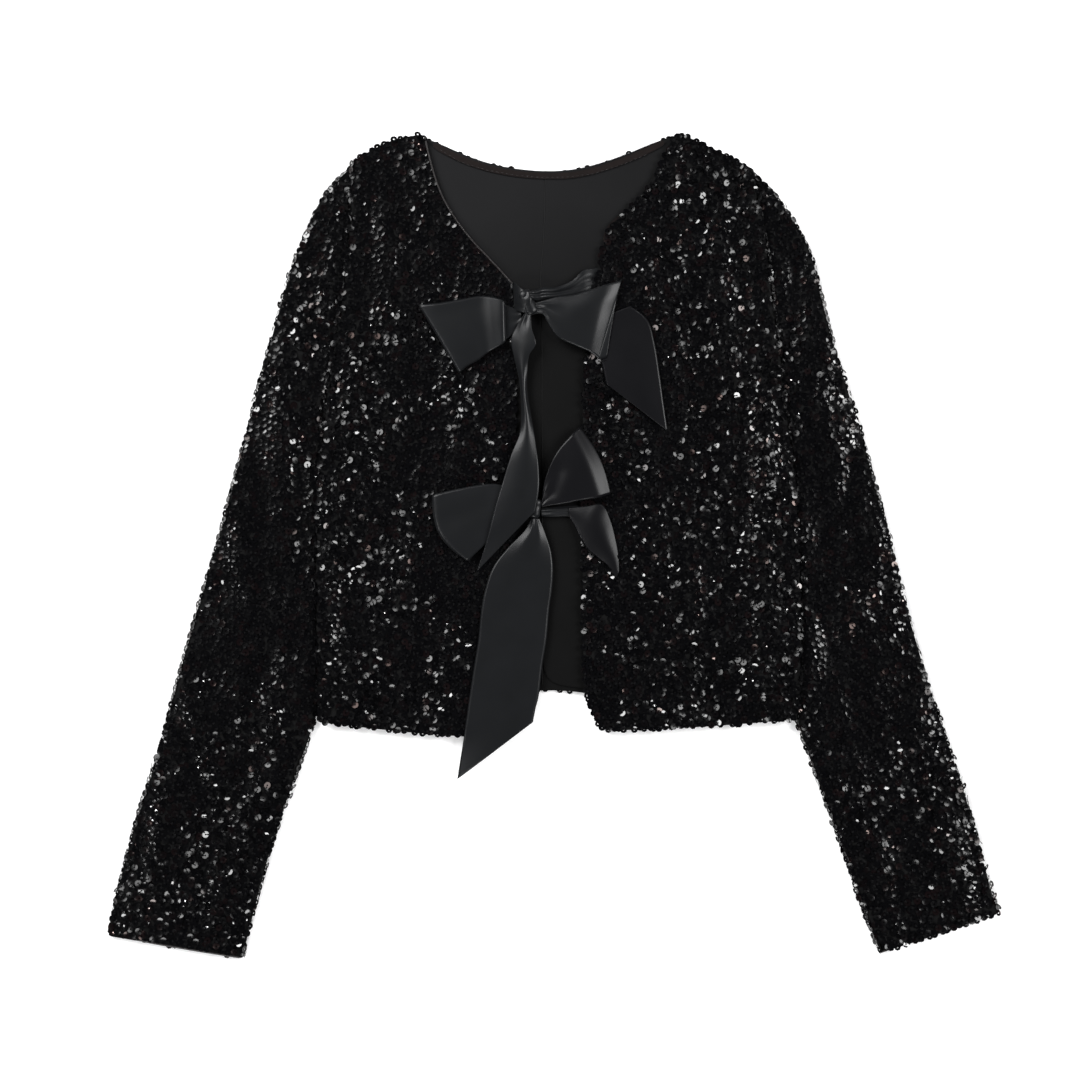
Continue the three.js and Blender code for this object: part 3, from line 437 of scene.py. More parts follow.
def fine_shell(node, name, finishes, outside_is_up=True, draw_in=SEQUIN_ROOM, levels=2):
    """finishes: one each for the outer side, the inner side and the cut edge."""
    mesh = bmesh.new()
    mesh.from_mesh(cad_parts[node].data)
    bmesh.ops.remove_doubles(mesh, verts=mesh.verts, dist=0.01 * MM)
    bmesh.ops.join_triangles(
        mesh,
        faces=mesh.faces,
        angle_face_threshold=BENT,
        angle_shape_threshold=SKEWED,
    )
    way = 1 if outside_is_up else -1
    flat_faces = [face for face in mesh.faces if abs(face.normal.z) > LEVEL]
    outside = flood(max(flat_faces, key=lambda f: way * (f.calc_center_median().z + f.normal.z)))
    rest = [face for face in flat_faces if face not in outside]
    inside = flood(max(rest, key=lambda f: f.calc_area()))
    for face in mesh.faces:
        face.material_index = OUTSIDE if face in outside else INSIDE if face in inside else EDGE
        face.smooth = True
    rim = mesh.edges.layers.float.new("crease_edge")
    for edge in mesh.edges:
        if len({face.material_index for face in edge.link_faces}) > 1:
            edge[rim] = 1.0
            edge.smooth = False
    moved = {}
    for vertex in mesh.verts:
        sides = [face.normal * face.calc_area() for face in vertex.link_faces if face in outside]
        if sides:
            moved[vertex] = vertex.co - sum(sides, Vector()).normalized() * draw_in
    for vertex, co in moved.items():
        vertex.co = co
    shell = bpy.data.objects.new(name, bpy.data.meshes.new(name))
    mesh.to_mesh(shell.data)
    mesh.free()
    for finish in finishes:
        shell.data.materials.append(finish)
    bpy.context.scene.collection.objects.link(shell)
    smoother = shell.modifiers.new("rounder", "SUBSURF")
    smoother.levels = smoother.render_levels = levels
    return freeze(shell)


def freeze(piece):
    """Gives a piece the mesh that its modifiers make, and takes them off."""
    graph = bpy.context.evaluated_depsgraph_get()
    made = bpy.data.meshes.new_from_object(piece.evaluated_get(graph))
    made.name = piece.name
    rough = piece.data
    piece.modifiers.clear()
    piece.data = made
    bpy.data.meshes.remove(rough)
    return piece


# %% [markdown]
# ## Creases
#
# The solids already have the large folds. Laid cloth also has smaller troughs and ridges, and
# no two are alike in length, depth or spacing. Each is a stroke with a start and an end, given in a
# list. The cloth rises or sinks along it in a soft bell, which fades at both ends. Layers that lie on
# each other move together, so that none comes through another.
#
# Cloth simulation would drape the cloth too, but it wouldn't put a crease where the photo has one.

# %% Strokes for the fronts and sleeves
# Each stroke, in mm: start x, y, end x, y, half width, height.
CREASES = [
    (-134, 256, -116, 180, 8, 0.3),
    (-72, 226, -92, 120, 6, -1),
    (-60, 120, -88, 20, 7, 1),
    (-48, -40, -52, -138, 6, -0.8),
    (-100, 60, -116, -40, 5, 1.2),
    (-150, 60, -158, -90, 5, -1.2),
    (-78, -60, -84, -140, 6, 1.2),
    (-164, 20, -168, -120, 4, 1),
    (60, 230, 92, 150, 6, 1),
    (128, 262, 146, 180, 7, -0.7),
    (40, 130, 86, 70, 6, -0.8),
    (80, 40, 88, -70, 6, 1.2),
    (118, -20, 114, -128, 6, -1),
    (44, -40, 52, -130, 6, 0.8),
    (157, 118, 160, -124, 9, 2.2),
    (138, 120, 142, 0, 6, -1.2),
    (-185, 215, -176, 120, 6, -1.4),
    (-205, 150, -198, 40, 6, 1.4),
    (-228, 90, -214, 20, 6, -1.4),
    (-240, 10, -222, -60, 7, 1.2),
    (-196, -40, -230, -120, 6, -1.2),
    (-276, -110, -250, -180, 6, 1.4),
    (-226, -170, -262, -240, 6, -1.4),
    (-296, -190, -300, -270, 6, 1.2),
    (-248, -250, -262, -300, 5, 1),
    (184, 222, 178, 130, 6, -1.4),
    (206, 140, 196, 50, 6, 1.2),
    (232, 80, 214, 10, 6, -1.4),
    (246, 0, 224, -70, 7, 1.4),
    (200, -50, 232, -130, 6, -1.2),
    (280, -120, 252, -190, 6, 1.4),
    (228, -180, 268, -240, 6, -1.2),
    (298, -212, 312, -284, 10, 2),
    (256, -240, 270, -300, 5, -1),
    (-190, 70, -194, -90, 8, -1.6),
    (198, 95, 208, -120, 9, -1.8),
    (-149, 132, -146, 20, 9, 1.2),
    (44, -126, 148, -124, 6, 1.2),
    (-158, -122, -96, -131, 6, 1),
]
print("creases:", len(CREASES))

# %% [markdown]
# A crease runs on a little past its ends, where it fades out. Between the creases the cloth is never
# quite even, so a low noise is added, stretched along the body.

# %% How high the cloth rises at a place
REACH_MM, FADE_MM = 10, 22  # how far a crease runs on past its ends, and the length that it fades in
UNEVEN_MM, UNEVEN_ACROSS, UNEVEN_ALONG = 0.35, 31, 47  # the cloth's gentle unevenness, in mm


def crease_height(x, y):
    """The rise at a place, in mm, from all the creases near it and the unevenness."""
    height = 0.0
    for x0, y0, x1, y1, half_width, rise in CREASES:
        run = np.array([x1 - x0, y1 - y0])
        length = float(np.hypot(*run))
        run = run / length
        along = (x - x0) * run[0] + (y - y0) * run[1]
        aside = (x - x0) * run[1] - (y - y0) * run[0]
        to_ends = along + REACH_MM, length + REACH_MM - along
        if min(to_ends) > 0 and abs(aside) < 3 * half_width:
            ends = min(to_ends[0] / FADE_MM, 1) * min(to_ends[1] / FADE_MM, 1)
            height += rise * math.exp(-((aside / half_width) ** 2)) * ends * (2 - ends)
    return height + UNEVEN_MM * noise.noise(Vector((x / UNEVEN_ACROSS, y / UNEVEN_ALONG, 3.7)))


def crease(piece, from_mm, to_mm):
    """Lets the cloth above a height take the creases, none of them below the first height."""
    for vertex in piece.data.vertices:
        x, y, z = vertex.co / MM
        share = min(max((z - from_mm) / (to_mm - from_mm), 0), 1)
        if share:
            vertex.co.z += share * crease_height(x, y) * MM
    piece.data.update()


print("rise in mm in the middle of the first crease:", round(crease_height(-125, 218), 2))

# %% [markdown]
# Now the five panels are made. The undersides lie flat on the board, so a crease takes hold of the
# cloth only above a certain height. The back is the only panel whose outer side faces down.

# %% Fronts, sleeves and back in sequinned net, lined with satin
CLOTH_FINISHES = [net_ground, lining_satin, net_ground]
# Heights in mm at which the cloth starts to take the creases and takes them in full.
CREASED = {"front_left": (2, 7), "front_right": (2, 7), "sleeve_left": (1.6, 5.6), "sleeve_right": (1.6, 5.6)}
cloth = {}
for node, (start, full) in CREASED.items():
    cloth[node] = fine_shell(node, node + "_cloth", CLOTH_FINISHES)
    crease(cloth[node], start, full)
cloth["back_panel"] = fine_shell("back_panel", "back_panel_cloth", CLOTH_FINISHES, outside_is_up=False)
for piece in cloth.values():
    print(piece.name, len(piece.data.polygons), "faces")

# %% [markdown]
# ## The sequins
#
# A cupped sequin is a thin disc, 5.2 mm across, with a hole in the middle for the thread and a rim
# that stands up. It starts as a circle for the hole, and its edge is extruded outwards twice. It has
# 40 triangles, because there are thousands of them. A plainer one, of 14, fills in beneath and goes
# on the undersides.

# %% One cupped sequin and one plain
HOLE_RADIUS_MM = 0.65


def punch_sequin(name, sides, bands):
    """bands: the radius of each ring past the hole, and its height above it, in mm."""
    mesh = bmesh.new()
    bmesh.ops.create_circle(mesh, cap_ends=False, segments=sides, radius=HOLE_RADIUS_MM * MM)
    rim, radius, height = mesh.edges[:], HOLE_RADIUS_MM, 0.0
    for next_radius, next_height in bands:
        made = bmesh.ops.extrude_edge_only(mesh, edges=rim)["geom"]
        corners = [part for part in made if isinstance(part, bmesh.types.BMVert)]
        rim = [e for e in made if isinstance(e, bmesh.types.BMEdge) and all(v in corners for v in e.verts)]
        wider = next_radius / radius
        bmesh.ops.scale(mesh, verts=corners, vec=(wider, wider, 1))
        bmesh.ops.translate(mesh, verts=corners, vec=(0, 0, (next_height - height) * MM))
        radius, height = next_radius, next_height
    bmesh.ops.recalc_face_normals(mesh, faces=mesh.faces)
    if mesh.faces[:][0].normal.z < 0:
        bmesh.ops.reverse_faces(mesh, faces=mesh.faces)
    for face in mesh.faces:
        face.smooth = True
    sequin = bpy.data.objects.new(name, bpy.data.meshes.new(name))
    mesh.to_mesh(sequin.data)
    mesh.free()
    sequin.data.materials.append(sequin_foil)
    return sequin


shown_sequin = punch_sequin("shown_sequin", 10, [(1.6, 0.04), (2.6, 0.18)])
plain_sequin = punch_sequin("plain_sequin", 7, [(2.45, 0.2)])
print("faces of a sequin:", len(shown_sequin.data.polygons), "and", len(plain_sequin.data.polygons))

# %% [markdown]
# The thread could be a piece of its own on each sequin, but that would add tens of thousands of
# faces for a thin dark line. Giving one wedge of the sequin the thread's finish looks the same from
# a step away. The parts of a ring come in no fixed order, so a fixed side says which is the wedge.

# %% The thread over one wedge of a shown sequin
THREAD_SIDE = Vector((1, 0))  # one part of each ring has its middle on this side
WEDGE_ANGLE = 0.1  # in radians, how far off that side a part may be
shown_sequin.data.materials.append(sewing_thread)
for part in shown_sequin.data.polygons:
    part.material_index = 1 if part.center.xy.angle(THREAD_SIDE) < WEDGE_ANGLE else 0
print("parts under thread:", sum(part.material_index for part in shown_sequin.data.polygons))

# %% [markdown]
# Sequins don't lie alike all over. Along ridges and worn folds they stand up and sparkle, and where
# the jacket was packed or a ribbon lies on them they are pressed flat and look dark. Listed strokes
# say where, as for the creases, with no picture needed.

# %% Where the sequins stand up, and where they are pressed flat
# Each stroke, in mm: start x, y, end x, y, half width, and how much livelier it is. One below zero
# is pressed flat.
LIVELINESS = [
    (162, 130, 162, -125, 17, 0.85),
    (95, 60, 105, -120, 34, 0.22),
    (60, -120, 130, -128, 11, 0.5),
    (-156, -108, -95, -130, 14, 0.7),
    (303, -180, 312, -285, 24, 0.95),
    (110, 275, 118, 160, 36, 0.3),
    (-150, 140, -146, 30, 20, 0.65),
    (-226, -215, -236, -300, 16, 0.5),
    (-292, -272, -250, -300, 16, 0.35),
    (40, 120, 66, 80, 18, 0.3),
    (-212, 60, -216, -60, 24, -0.8),
    (-232, -70, -240, -115, 20, -0.4),
    (-130, 280, -124, 198, 26, -0.75),
    (-84, 45, -66, -35, 28, -0.7),
    (196, 105, 205, -60, 11, -1),
    (206, -60, 226, -160, 12, -0.8),
    (190, 225, 196, 150, 10, -0.4),
    (-22, -12, -48, -125, 18, -1.2),
    (57, 174, 82, 75, 15, -1.2),
]


def soft_strokes(strokes, x, y):
    """The strokes added up at one place. Each fades in a bell from the line between its ends."""
    amount = 0.0
    for x0, y0, x1, y1, half_width, more in strokes:
        length = math.dist((x0, y0), (x1, y1))
        share = ((x - x0) * (x1 - x0) + (y - y0) * (y1 - y0)) / length**2
        share = min(max(share, 0), 1)
        off = math.dist((x, y), (x0 + share * (x1 - x0), y0 + share * (y1 - y0)))
        amount += more * math.exp(-((off / half_width) ** 2))
    return amount


print("lively strokes:", len(LIVELINESS))

# %% [markdown]
# The sequins only go where they can be seen: on the outside, and not under another layer. So each
# panel lends a copy of those faces alone, found by looking up, or down, from every face.

# %% The cloth that takes sequins
TURNED_DOWN = -0.3  # the upward share of a face's normal, below which it belongs to the underside
LOOK_MM = 30  # how far above or below a face another layer is looked for
START_MM = 0.3  # how far off the face the look starts


def uncovered(piece, upper, layers):
    """A copy of the outer faces that point up (or down) and have no other cloth over them."""
    mesh = bmesh.new()
    mesh.from_mesh(piece.data)
    way = Vector((0, 0, 1 if upper else -1))
    hidden = []
    for face in mesh.faces:
        turned_away = (face.normal.z < TURNED_DOWN) if upper else (face.normal.z > TURNED_DOWN)
        start = face.calc_center_median() + START_MM * MM * (face.normal + way)
        covered = any(layer.ray_cast(start, way, LOOK_MM * MM)[0] for layer in layers)
        if face.material_index != OUTSIDE or turned_away or covered:
            hidden.append(face)
    bmesh.ops.delete(mesh, geom=hidden, context="FACES")
    base = bpy.data.objects.new(piece.name + "_base", bpy.data.meshes.new(piece.name + "_base"))
    mesh.to_mesh(base.data)
    mesh.free()
    lively = base.data.attributes.new("lively", "FLOAT", "POINT")
    for vertex, value in zip(base.data.vertices, lively.data):
        value.value = soft_strokes(LIVELINESS, vertex.co.x / MM, vertex.co.y / MM)
    bpy.context.scene.collection.objects.link(base)
    return base


# %% [markdown]
# Each sequin hangs by its thread and leans its own way. The lean is what makes the sparkle, since a
# sequin only shines when it throws a lamp's light at the camera. It has two parts. One drifts over
# the cloth in patches, so that some patches shine together and others stay dark. The other is each
# sequin's own: a chance, small more often than large, times how loose that place is.

# %% How far each sequin leans of its own
SELDOM = 1.5  # the power that a chance is raised to: most sequins lean little, and a few lean far
CALM_PATCH_MM = 38  # size of the patches that lie calm or loose
CALM_BAND = (0.42, 0.56)  # noise seldom leaves the middle of its range, so this band is stretched
CALM_TO_LOOSE = (0.08, 0.78)  # share of the full lean in the calmest patch and in the loosest
PRESSED_SHARE = 0.04  # share of the full lean that is left where the sequins are pressed flat


def own_lean(tree, lean, seed):
    """Each sequin's own lean in radians, lean being the most."""
    chance = add_node(tree, "FunctionNodeRandomValue", {"data_type": "FLOAT"}, {"Seed": seed + 6})
    seldom = add_node(tree, "ShaderNodeMath", {"operation": "POWER"}, {0: chance.outputs[1], 1: SELDOM})
    calm = add_node(
        tree,
        "ShaderNodeTexNoise",
        {"noise_dimensions": "4D"},
        {"W": 5.0, "Scale": 1 / (CALM_PATCH_MM * MM), "Detail": 1.0},
    )
    loose = add_node(
        tree,
        "ShaderNodeMapRange",
        sockets={
            "Value": calm.outputs["Fac"],
            "From Min": CALM_BAND[0],
            "From Max": CALM_BAND[1],
            "To Min": CALM_TO_LOOSE[0],
            "To Max": CALM_TO_LOOSE[1],
        },
    )
    lively = add_node(tree, "GeometryNodeInputNamedAttribute", {"data_type": "FLOAT"}, {"Name": "lively"})
    both = add_node(tree, "ShaderNodeMath", {"operation": "ADD"}, {0: loose.outputs[0], 1: lively.outputs[0]})
    most = add_node(
        tree,
        "ShaderNodeMapRange",
        sockets={"Value": both.outputs[0], "To Min": PRESSED_SHARE * lean, "To Max": lean},
    )
    own = add_node(
        tree, "ShaderNodeMath", {"operation": "MULTIPLY"}, {0: seldom.outputs[0], 1: most.outputs[0]}
    )
    return own.outputs[0]


# %% [markdown]
# Three turns follow one another, each in the sequin's own directions: the drift of its patch, its
# own lean about any level axis, and a spin about its middle, which brings the thread to any side.

# %% The three turns of a sequin
LEAN_PATCH_MM = 26  # size of the patches that lean together


def turns(tree, own, drift, seed):
    """The three turns in their order, own being the angle of the second."""
    patches = add_node(
        tree, "ShaderNodeTexNoise", sockets={"Scale": 1 / (LEAN_PATCH_MM * MM), "Detail": 1.5}
    )
    # Noise lies round a half, so four times it less two goes as far one way as the other.
    drifting = add_node(
        tree,
        "ShaderNodeVectorMath",
        {"operation": "MULTIPLY_ADD"},
        {0: patches.outputs["Color"], 1: (4 * drift, 4 * drift, 0), 2: (-2 * drift, -2 * drift, 0)},
    )
    axis = add_node(
        tree,
        "FunctionNodeRandomValue",
        {"data_type": "FLOAT_VECTOR"},
        {0: (-1, -1, 0), 1: (1, 1, 0), "Seed": seed + 1},
    )
    spin = add_node(
        tree,
        "FunctionNodeRandomValue",
        {"data_type": "FLOAT_VECTOR"},
        {0: (0, 0, 0), 1: (0, 0, 2 * math.pi), "Seed": seed + 7},
    )
    return [
        add_node(tree, "FunctionNodeEulerToRotation", sockets={0: drifting.outputs[0]}),
        add_node(tree, "FunctionNodeAxisAngleToRotation", sockets={"Axis": axis.outputs[0], "Angle": own}),
        add_node(tree, "FunctionNodeEulerToRotation", sockets={0: spin.outputs[0]}),
    ]


# %% [markdown]
# Machines sew sequins close together at no exact spacing. Geometry Nodes scatter points that keep a
# least distance, put a sequin on each, turn it and lift it clear of its neighbours. Each also gets a
# shade and a polish for its finish. Placing them by a loop would do as well, but nodes are faster
# for thousands of them.

# %% The nodes that sew sequins on
STANDS_CLEAR_MM = 1.4  # how far a sequin lifts off its neighbours, for each radian it leans
CROWDING = 5  # points tried on each square of the spacing, of which about one finds room


def sewing(name, sequin, spacing_mm, lean_degrees, drift_degrees, lift_mm, seed):
    """A node tree that covers cloth with copies of one sequin."""
    tree = bpy.data.node_groups.new(name, "GeometryNodeTree")
    tree.interface.new_socket("Cloth", in_out="INPUT", socket_type="NodeSocketGeometry")
    tree.interface.new_socket("Sequins", in_out="OUTPUT", socket_type="NodeSocketGeometry")
    spacing = spacing_mm * MM
    base = add_node(tree, "NodeGroupInput")
    stitches = add_node(
        tree,
        "GeometryNodeDistributePointsOnFaces",
        {"distribute_method": "POISSON"},
        {
            "Mesh": base.outputs[0],
            "Distance Min": spacing,
            "Density Max": CROWDING / spacing**2,
            "Seed": seed,
        },
    )
    own = own_lean(tree, math.radians(lean_degrees), seed)
    facing = stitches.outputs["Rotation"]
    for turn in turns(tree, own, math.radians(drift_degrees), seed):
        turned = add_node(
            tree, "FunctionNodeRotateRotation", {"rotation_space": "LOCAL"}, {0: facing, 1: turn.outputs[0]}
        )
        facing = turned.outputs[0]
    pattern = add_node(tree, "GeometryNodeObjectInfo", sockets={"Object": sequin})
    sewn = add_node(
        tree,
        "GeometryNodeInstanceOnPoints",
        sockets={
            "Points": stitches.outputs["Points"],
            "Instance": pattern.outputs["Geometry"],
            "Rotation": facing,
        },
    )
    height = add_node(
        tree,
        "FunctionNodeRandomValue",
        {"data_type": "FLOAT_VECTOR"},
        {0: (0, 0, 0.6 * lift_mm * MM), 1: (0, 0, 1.4 * lift_mm * MM), "Seed": seed + 2},
    )
    clear = add_node(
        tree, "ShaderNodeVectorMath", {"operation": "SCALE"}, {0: (0, 0, STANDS_CLEAR_MM * MM), 3: own}
    )
    lift = add_node(
        tree, "ShaderNodeVectorMath", {"operation": "ADD"}, {0: height.outputs[0], 1: clear.outputs[0]}
    )
    raised = add_node(
        tree,
        "GeometryNodeTranslateInstances",
        sockets={"Instances": sewn.outputs[0], "Translation": lift.outputs[0]},
    )
    done = raised.outputs[0]
    for step, attribute in enumerate(("shade", "polish")):
        amount = add_node(
            tree, "FunctionNodeRandomValue", {"data_type": "FLOAT"}, {"Seed": seed + 3 + step}
        )
        stored = add_node(
            tree,
            "GeometryNodeStoreNamedAttribute",
            {"data_type": "FLOAT", "domain": "INSTANCE"},
            {"Geometry": done, "Name": attribute, "Value": amount.outputs[1]},
        )
        done = stored.outputs[0]
    whole = add_node(tree, "GeometryNodeRealizeInstances", sockets={"Geometry": done})
    add_node(tree, "NodeGroupOutput", sockets={0: whole.outputs[0]})
    return tree


# %% [markdown]
# The nodes run on the copy of the faces as a modifier, whose result is then made a plain mesh. Each
# panel looks out for all the others, because any of them may cover it.

# %% Sewing one row of sequins on one panel
def search_tree(piece):
    """A tree of a piece's faces that a ray can be cast at."""
    corners = [vertex.co for vertex in piece.data.vertices]
    return BVHTree.FromPolygons(corners, [face.vertices[:] for face in piece.data.polygons])


def sew(node, suffix, upper, sequin, spacing_mm, lean, drift, lift_mm, seed):
    """A mesh of sequins for the upper or the under side of one panel."""
    layers = [search_tree(other) for other in cloth.values() if other is not cloth[node]]
    base = uncovered(cloth[node], upper, layers)
    area = sum(p.area for p in base.data.polygons)
    tree = sewing(node + suffix, sequin, spacing_mm, lean, drift, lift_mm, seed)
    base.modifiers.new("sewing", "NODES").node_group = tree
    sewn = freeze(base)
    sewn.name = node + suffix
    sewn.data.name = sewn.name
    count = len(sewn.data.polygons) // len(sequin.data.polygons)
    print(sewn.name, f"{area * 1e4:.0f} cm2", count, "sequins")
    return sewn


# %% [markdown]
# The shown row leans far and stands clear. Under it, a closer row of plain sequins that hardly lean
# hides the net. The underside gets one plain row, and so do the edges of the fronts that are folded
# under.

# %% Sew the outside of the five panels
# Spacing in mm, lean and drift in degrees, lift in mm.
TOP_ROW = (4.3, 46, 5, 0.95)
FILLING = (3.6, 7, 4, 0.35)
UNDERSIDE = (4.2, 8, 2, 0.3)
sequins = {}
for seed, node in enumerate(("front_left", "front_right", "sleeve_left", "sleeve_right")):
    sequins[node] = [
        sew(node, "_sequins", True, shown_sequin, *TOP_ROW, 10 * seed + 3),
        sew(node, "_filling_sequins", True, plain_sequin, *FILLING, 10 * seed + 103),
    ]
for seed, node in enumerate(("sleeve_left", "sleeve_right", "back_panel", "front_left", "front_right")):
    sequins.setdefault(node, []).append(
        sew(node, "_under_sequins", False, plain_sequin, *UNDERSIDE, 10 * seed + 53)
    )
for pattern in (shown_sequin, plain_sequin):
    bpy.data.objects.remove(pattern)

# %% [markdown]
# ## Lining and binding in the neck
#
# The back lining is two halves of satin that meet in a seam down the middle, and a narrow bias
# binding finishes the neck. They are copies of their solids too, a little rounded.

# %% Lining halves and bindings
linings = {}
for node in ("back_lining_left", "back_lining_right"):
    linings[node] = fine_shell(node, node + "_satin", [lining_satin] * 3, draw_in=0)
for node in ("back_neck_binding", "front_binding_left", "front_binding_right"):
    linings[node] = fine_shell(node, node + "_strip", [binding_satin] * 3, draw_in=0)
print("lining pieces:", sorted(linings))

# %% [markdown]
# The left neckline shows a fine edge of rolled satin that catches the light, and so does the hem of
# each cuff; both are in the rolled satin painted lighter as a highlight. The lining's middle seam
# stands up a little. Each is a curve with a round section, laid along the edge and turned into a mesh.

# %% Rolled satin edges, and the ridge of the lining's seam
# Each edge: points in mm, radius, height, finish.
ROLLS = {
    "front_binding_left_roll": (
        [(-96.4, 307), (-91.4, 284), (-81.6, 257.4), (-63.6, 231.8), (-46, 214), (-30.6, 197)],
        0.65, 7.6, rolled_satin_painted_highlight,
    ),
    "sleeve_left_hem": (
        [(-333.6, -290.2), (-322, -293), (-308, -297.4), (-284, -301.6), (-259.5, -305.7), (-236, -309.4)],
        1.0, 1.4, rolled_satin_painted_highlight,
    ),
    "sleeve_right_hem": (
        [(245.4, -305.8), (256.6, -302), (270, -298), (291, -290.8), (316, -281.8), (333.4, -276.4)],
        1.0, 1.4, rolled_satin_painted_highlight,
    ),
    "back_lining_seam": (
        [
            (-5.8, 277), (-6.3, 245), (-7.6, 222), (-9.6, 204), (-9.1, 175), (-8.3, 145), (-8.3, 60),
            (-8.3, -104),
        ],
        0.6, 3.3, lining_satin,
    ),
}


def roll_edge(name, points, radius, height, finish):
    line = bpy.data.curves.new(name, "CURVE")
    line.dimensions = "3D"
    line.bevel_depth, line.bevel_resolution, line.use_fill_caps = radius * MM, 3, True
    spline = line.splines.new("NURBS")
    spline.points.add(len(points) - 1)
    for point, (x, y) in zip(spline.points, points):
        point.co = (x * MM, y * MM, height * MM, 1)
    spline.use_endpoint_u, spline.order_u, spline.resolution_u = True, 3, 12
    roll = bpy.data.objects.new(name + "_line", line)
    bpy.context.scene.collection.objects.link(roll)
    graph = bpy.context.evaluated_depsgraph_get()
    made = bpy.data.objects.new(name, bpy.data.meshes.new_from_object(roll.evaluated_get(graph)))
    bpy.data.objects.remove(roll)
    made.data.materials.clear()
    made.data.materials.append(finish)
    bpy.context.scene.collection.objects.link(made)
    return made


rolls = {name: roll_edge(name, *shape) for name, shape in ROLLS.items()}
print("rolled edges:", {name: len(piece.data.polygons) for name, piece in rolls.items()})

# %% [markdown]
# The binding is held by a row of small stitches, close to its lower edge. Each is a slim bead of
# thread, and all are in one mesh.

# %% Stitches along the neck binding
STITCH_MM, GAP_MM, THREAD_RADIUS_MM = 2.4, 1.4, 0.22
STITCH_LINE = [
    (-84, 297.2), (-70, 288.6), (-50, 282.4), (-30, 278.8), (-10, 276.9),
    (10, 277), (30, 279.6), (50, 285.8), (70, 294),
]
STITCH_HEIGHT_MM = 4.95
stitches = bmesh.new()
count, left_over = 0, 0.0
for (x0, y0), (x1, y1) in zip(STITCH_LINE, STITCH_LINE[1:]):
    length, angle = math.dist((x0, y0), (x1, y1)), math.atan2(y1 - y0, x1 - x0)
    along = left_over
    while along < length:
        middle = (x0 + math.cos(angle) * along, y0 + math.sin(angle) * along, STITCH_HEIGHT_MM)
        form = (
            Matrix.Translation(Vector(middle) * MM)
            @ Matrix.Rotation(angle, 4, "Z")
            @ Matrix.Diagonal((STITCH_MM / 2 * MM, THREAD_RADIUS_MM * MM, THREAD_RADIUS_MM * MM, 1))
        )
        bmesh.ops.create_uvsphere(stitches, u_segments=6, v_segments=5, radius=1, matrix=form)
        along += STITCH_MM + GAP_MM
        count += 1
    left_over = along - length
for face in stitches.faces:
    face.smooth = True
binding_stitches = bpy.data.objects.new("back_neck_stitches", bpy.data.meshes.new("back_neck_stitches"))
stitches.to_mesh(binding_stitches.data)
stitches.free()
# The stitches take the rolled satin that is painted lighter as a highlight.
binding_stitches.data.materials.append(rolled_satin_painted_highlight)
bpy.context.scene.collection.objects.link(binding_stitches)
print("stitches:", count)

# %% [markdown]
# ## The ribbons
#
# Ribbon doesn't stretch, so a bow is a few smooth bands. Each is given by rows along it, as a sewer
# would lay a ruler across the ribbon here and there: the two edges, how far the middle stands up,
# and how far it runs ahead of the edges. A grid of faces is then laid through those rows on a smooth
# curve. This is the same way as the solids were made, but finer.

# %% Rows of the ribbons, in mm
# Flat stretches: edge a as x, y, z, edge b as x, y, z, crown, bulge.
# Loops: edge a as x, y, edge b as x, y, height of the upper layer, of the under one, crown, bulge.
UPPER_TIE_LEFT = [
    [-40, 201, 4.3, -41, 182, 4.3, 0, 0],
    [-35, 200.5, 4.35, -35.5, 179, 4.35, 0, 0],
    [-30.4, 198.5, 4.8, -30.4, 177, 4.8, 0.4, 0],
    [-28, 197, 8.4, -28.5, 176.5, 8.6, 0.8, 0],
    [-24.5, 193.5, 12.2, -25.5, 175.5, 11.8, 1.2, 0],
    [-20.5, 190.5, 14.6, -21.5, 174.5, 13.6, 1.2, 0],
    [-17, 190, 15.6, -17, 174.5, 14.4, 0.8, 0],
    [-15, 189.6, 14.2, -15, 175, 12.8, 0.4, 0],
]
UPPER_TIE_RIGHT = [
    [-18.5, 190, 15.4, -17.5, 186.5, 16, 0.2, 0],
    [-15.5, 190.8, 15.2, -15, 184.6, 15.4, 0.4, 0],
    [-12, 191.8, 13, -12, 183.8, 12.8, 0.6, 0],
    [-7, 193.6, 9.8, -7, 185, 9.6, 0.6, 0],
    [2, 194, 7.6, 3, 186, 7.6, 0.4, 0],
    [14, 199, 7, 15, 187, 7, 0.3, 0],
    [23, 207, 6.2, 23, 189, 6.2, 0, 0],
    [30.4, 208.5, 4.6, 30.4, 192, 4.6, 0, 0],
    [38, 210, 4.3, 38, 193, 4.3, 0, 0],
]
UPPER_TAIL_RIGHT = [
    [58, 180, 8.3, 26, 168, 8.3, 0, 0],
    [71, 169.5, 8.4, 31, 154.5, 8.3, 0.2, 0],
    [76.5, 151, 8.8, 34.5, 143, 8.3, 0.8, 0],
    [80, 129, 9.2, 37, 135, 8.3, 1.2, 0],
    [83, 107, 9.2, 38.5, 128, 8.3, 1.2, 0],
    [86, 86, 8.8, 40, 121.5, 8.3, 0.8, 0],
]
UPPER_TAIL_LONG = [
    [-21, 174.5, 12.4, -16.5, 174.5, 13.6, 0.5, 0],
    [-27.5, 164, 10.8, -16, 163, 15, 0.8, 0],
    [-31.5, 154.5, 10, -13, 151, 15.2, 1, 0],
    [-29, 141, 9.8, -18, 142, 13.2, 1.2, 0],
    [-25.5, 126, 9.8, -19.5, 126, 11, 2.2, 0],
    [-24, 112.5, 10.4, -19, 112.5, 10, 2.6, 0],
    [-23.5, 98, 11, -16.5, 98, 10.8, 2.6, 0],
    [-25, 84, 12.6, -14, 83, 12.4, 2, 0],
    [-31, 69, 14.2, -11.5, 66, 14.4, 1.4, 0],
    [-37, 50, 14.4, -10.5, 54, 14.8, 1.2, 0],
    [-43.5, 28.5, 14.6, -10.5, 44, 15.2, 1, 0],
    [-49.5, 4.5, 14, -11.5, 35.5, 15.2, 0.6, 0],
    [-57, -19, 9.3, -13.5, 26, 15, 0.4, 0],
]
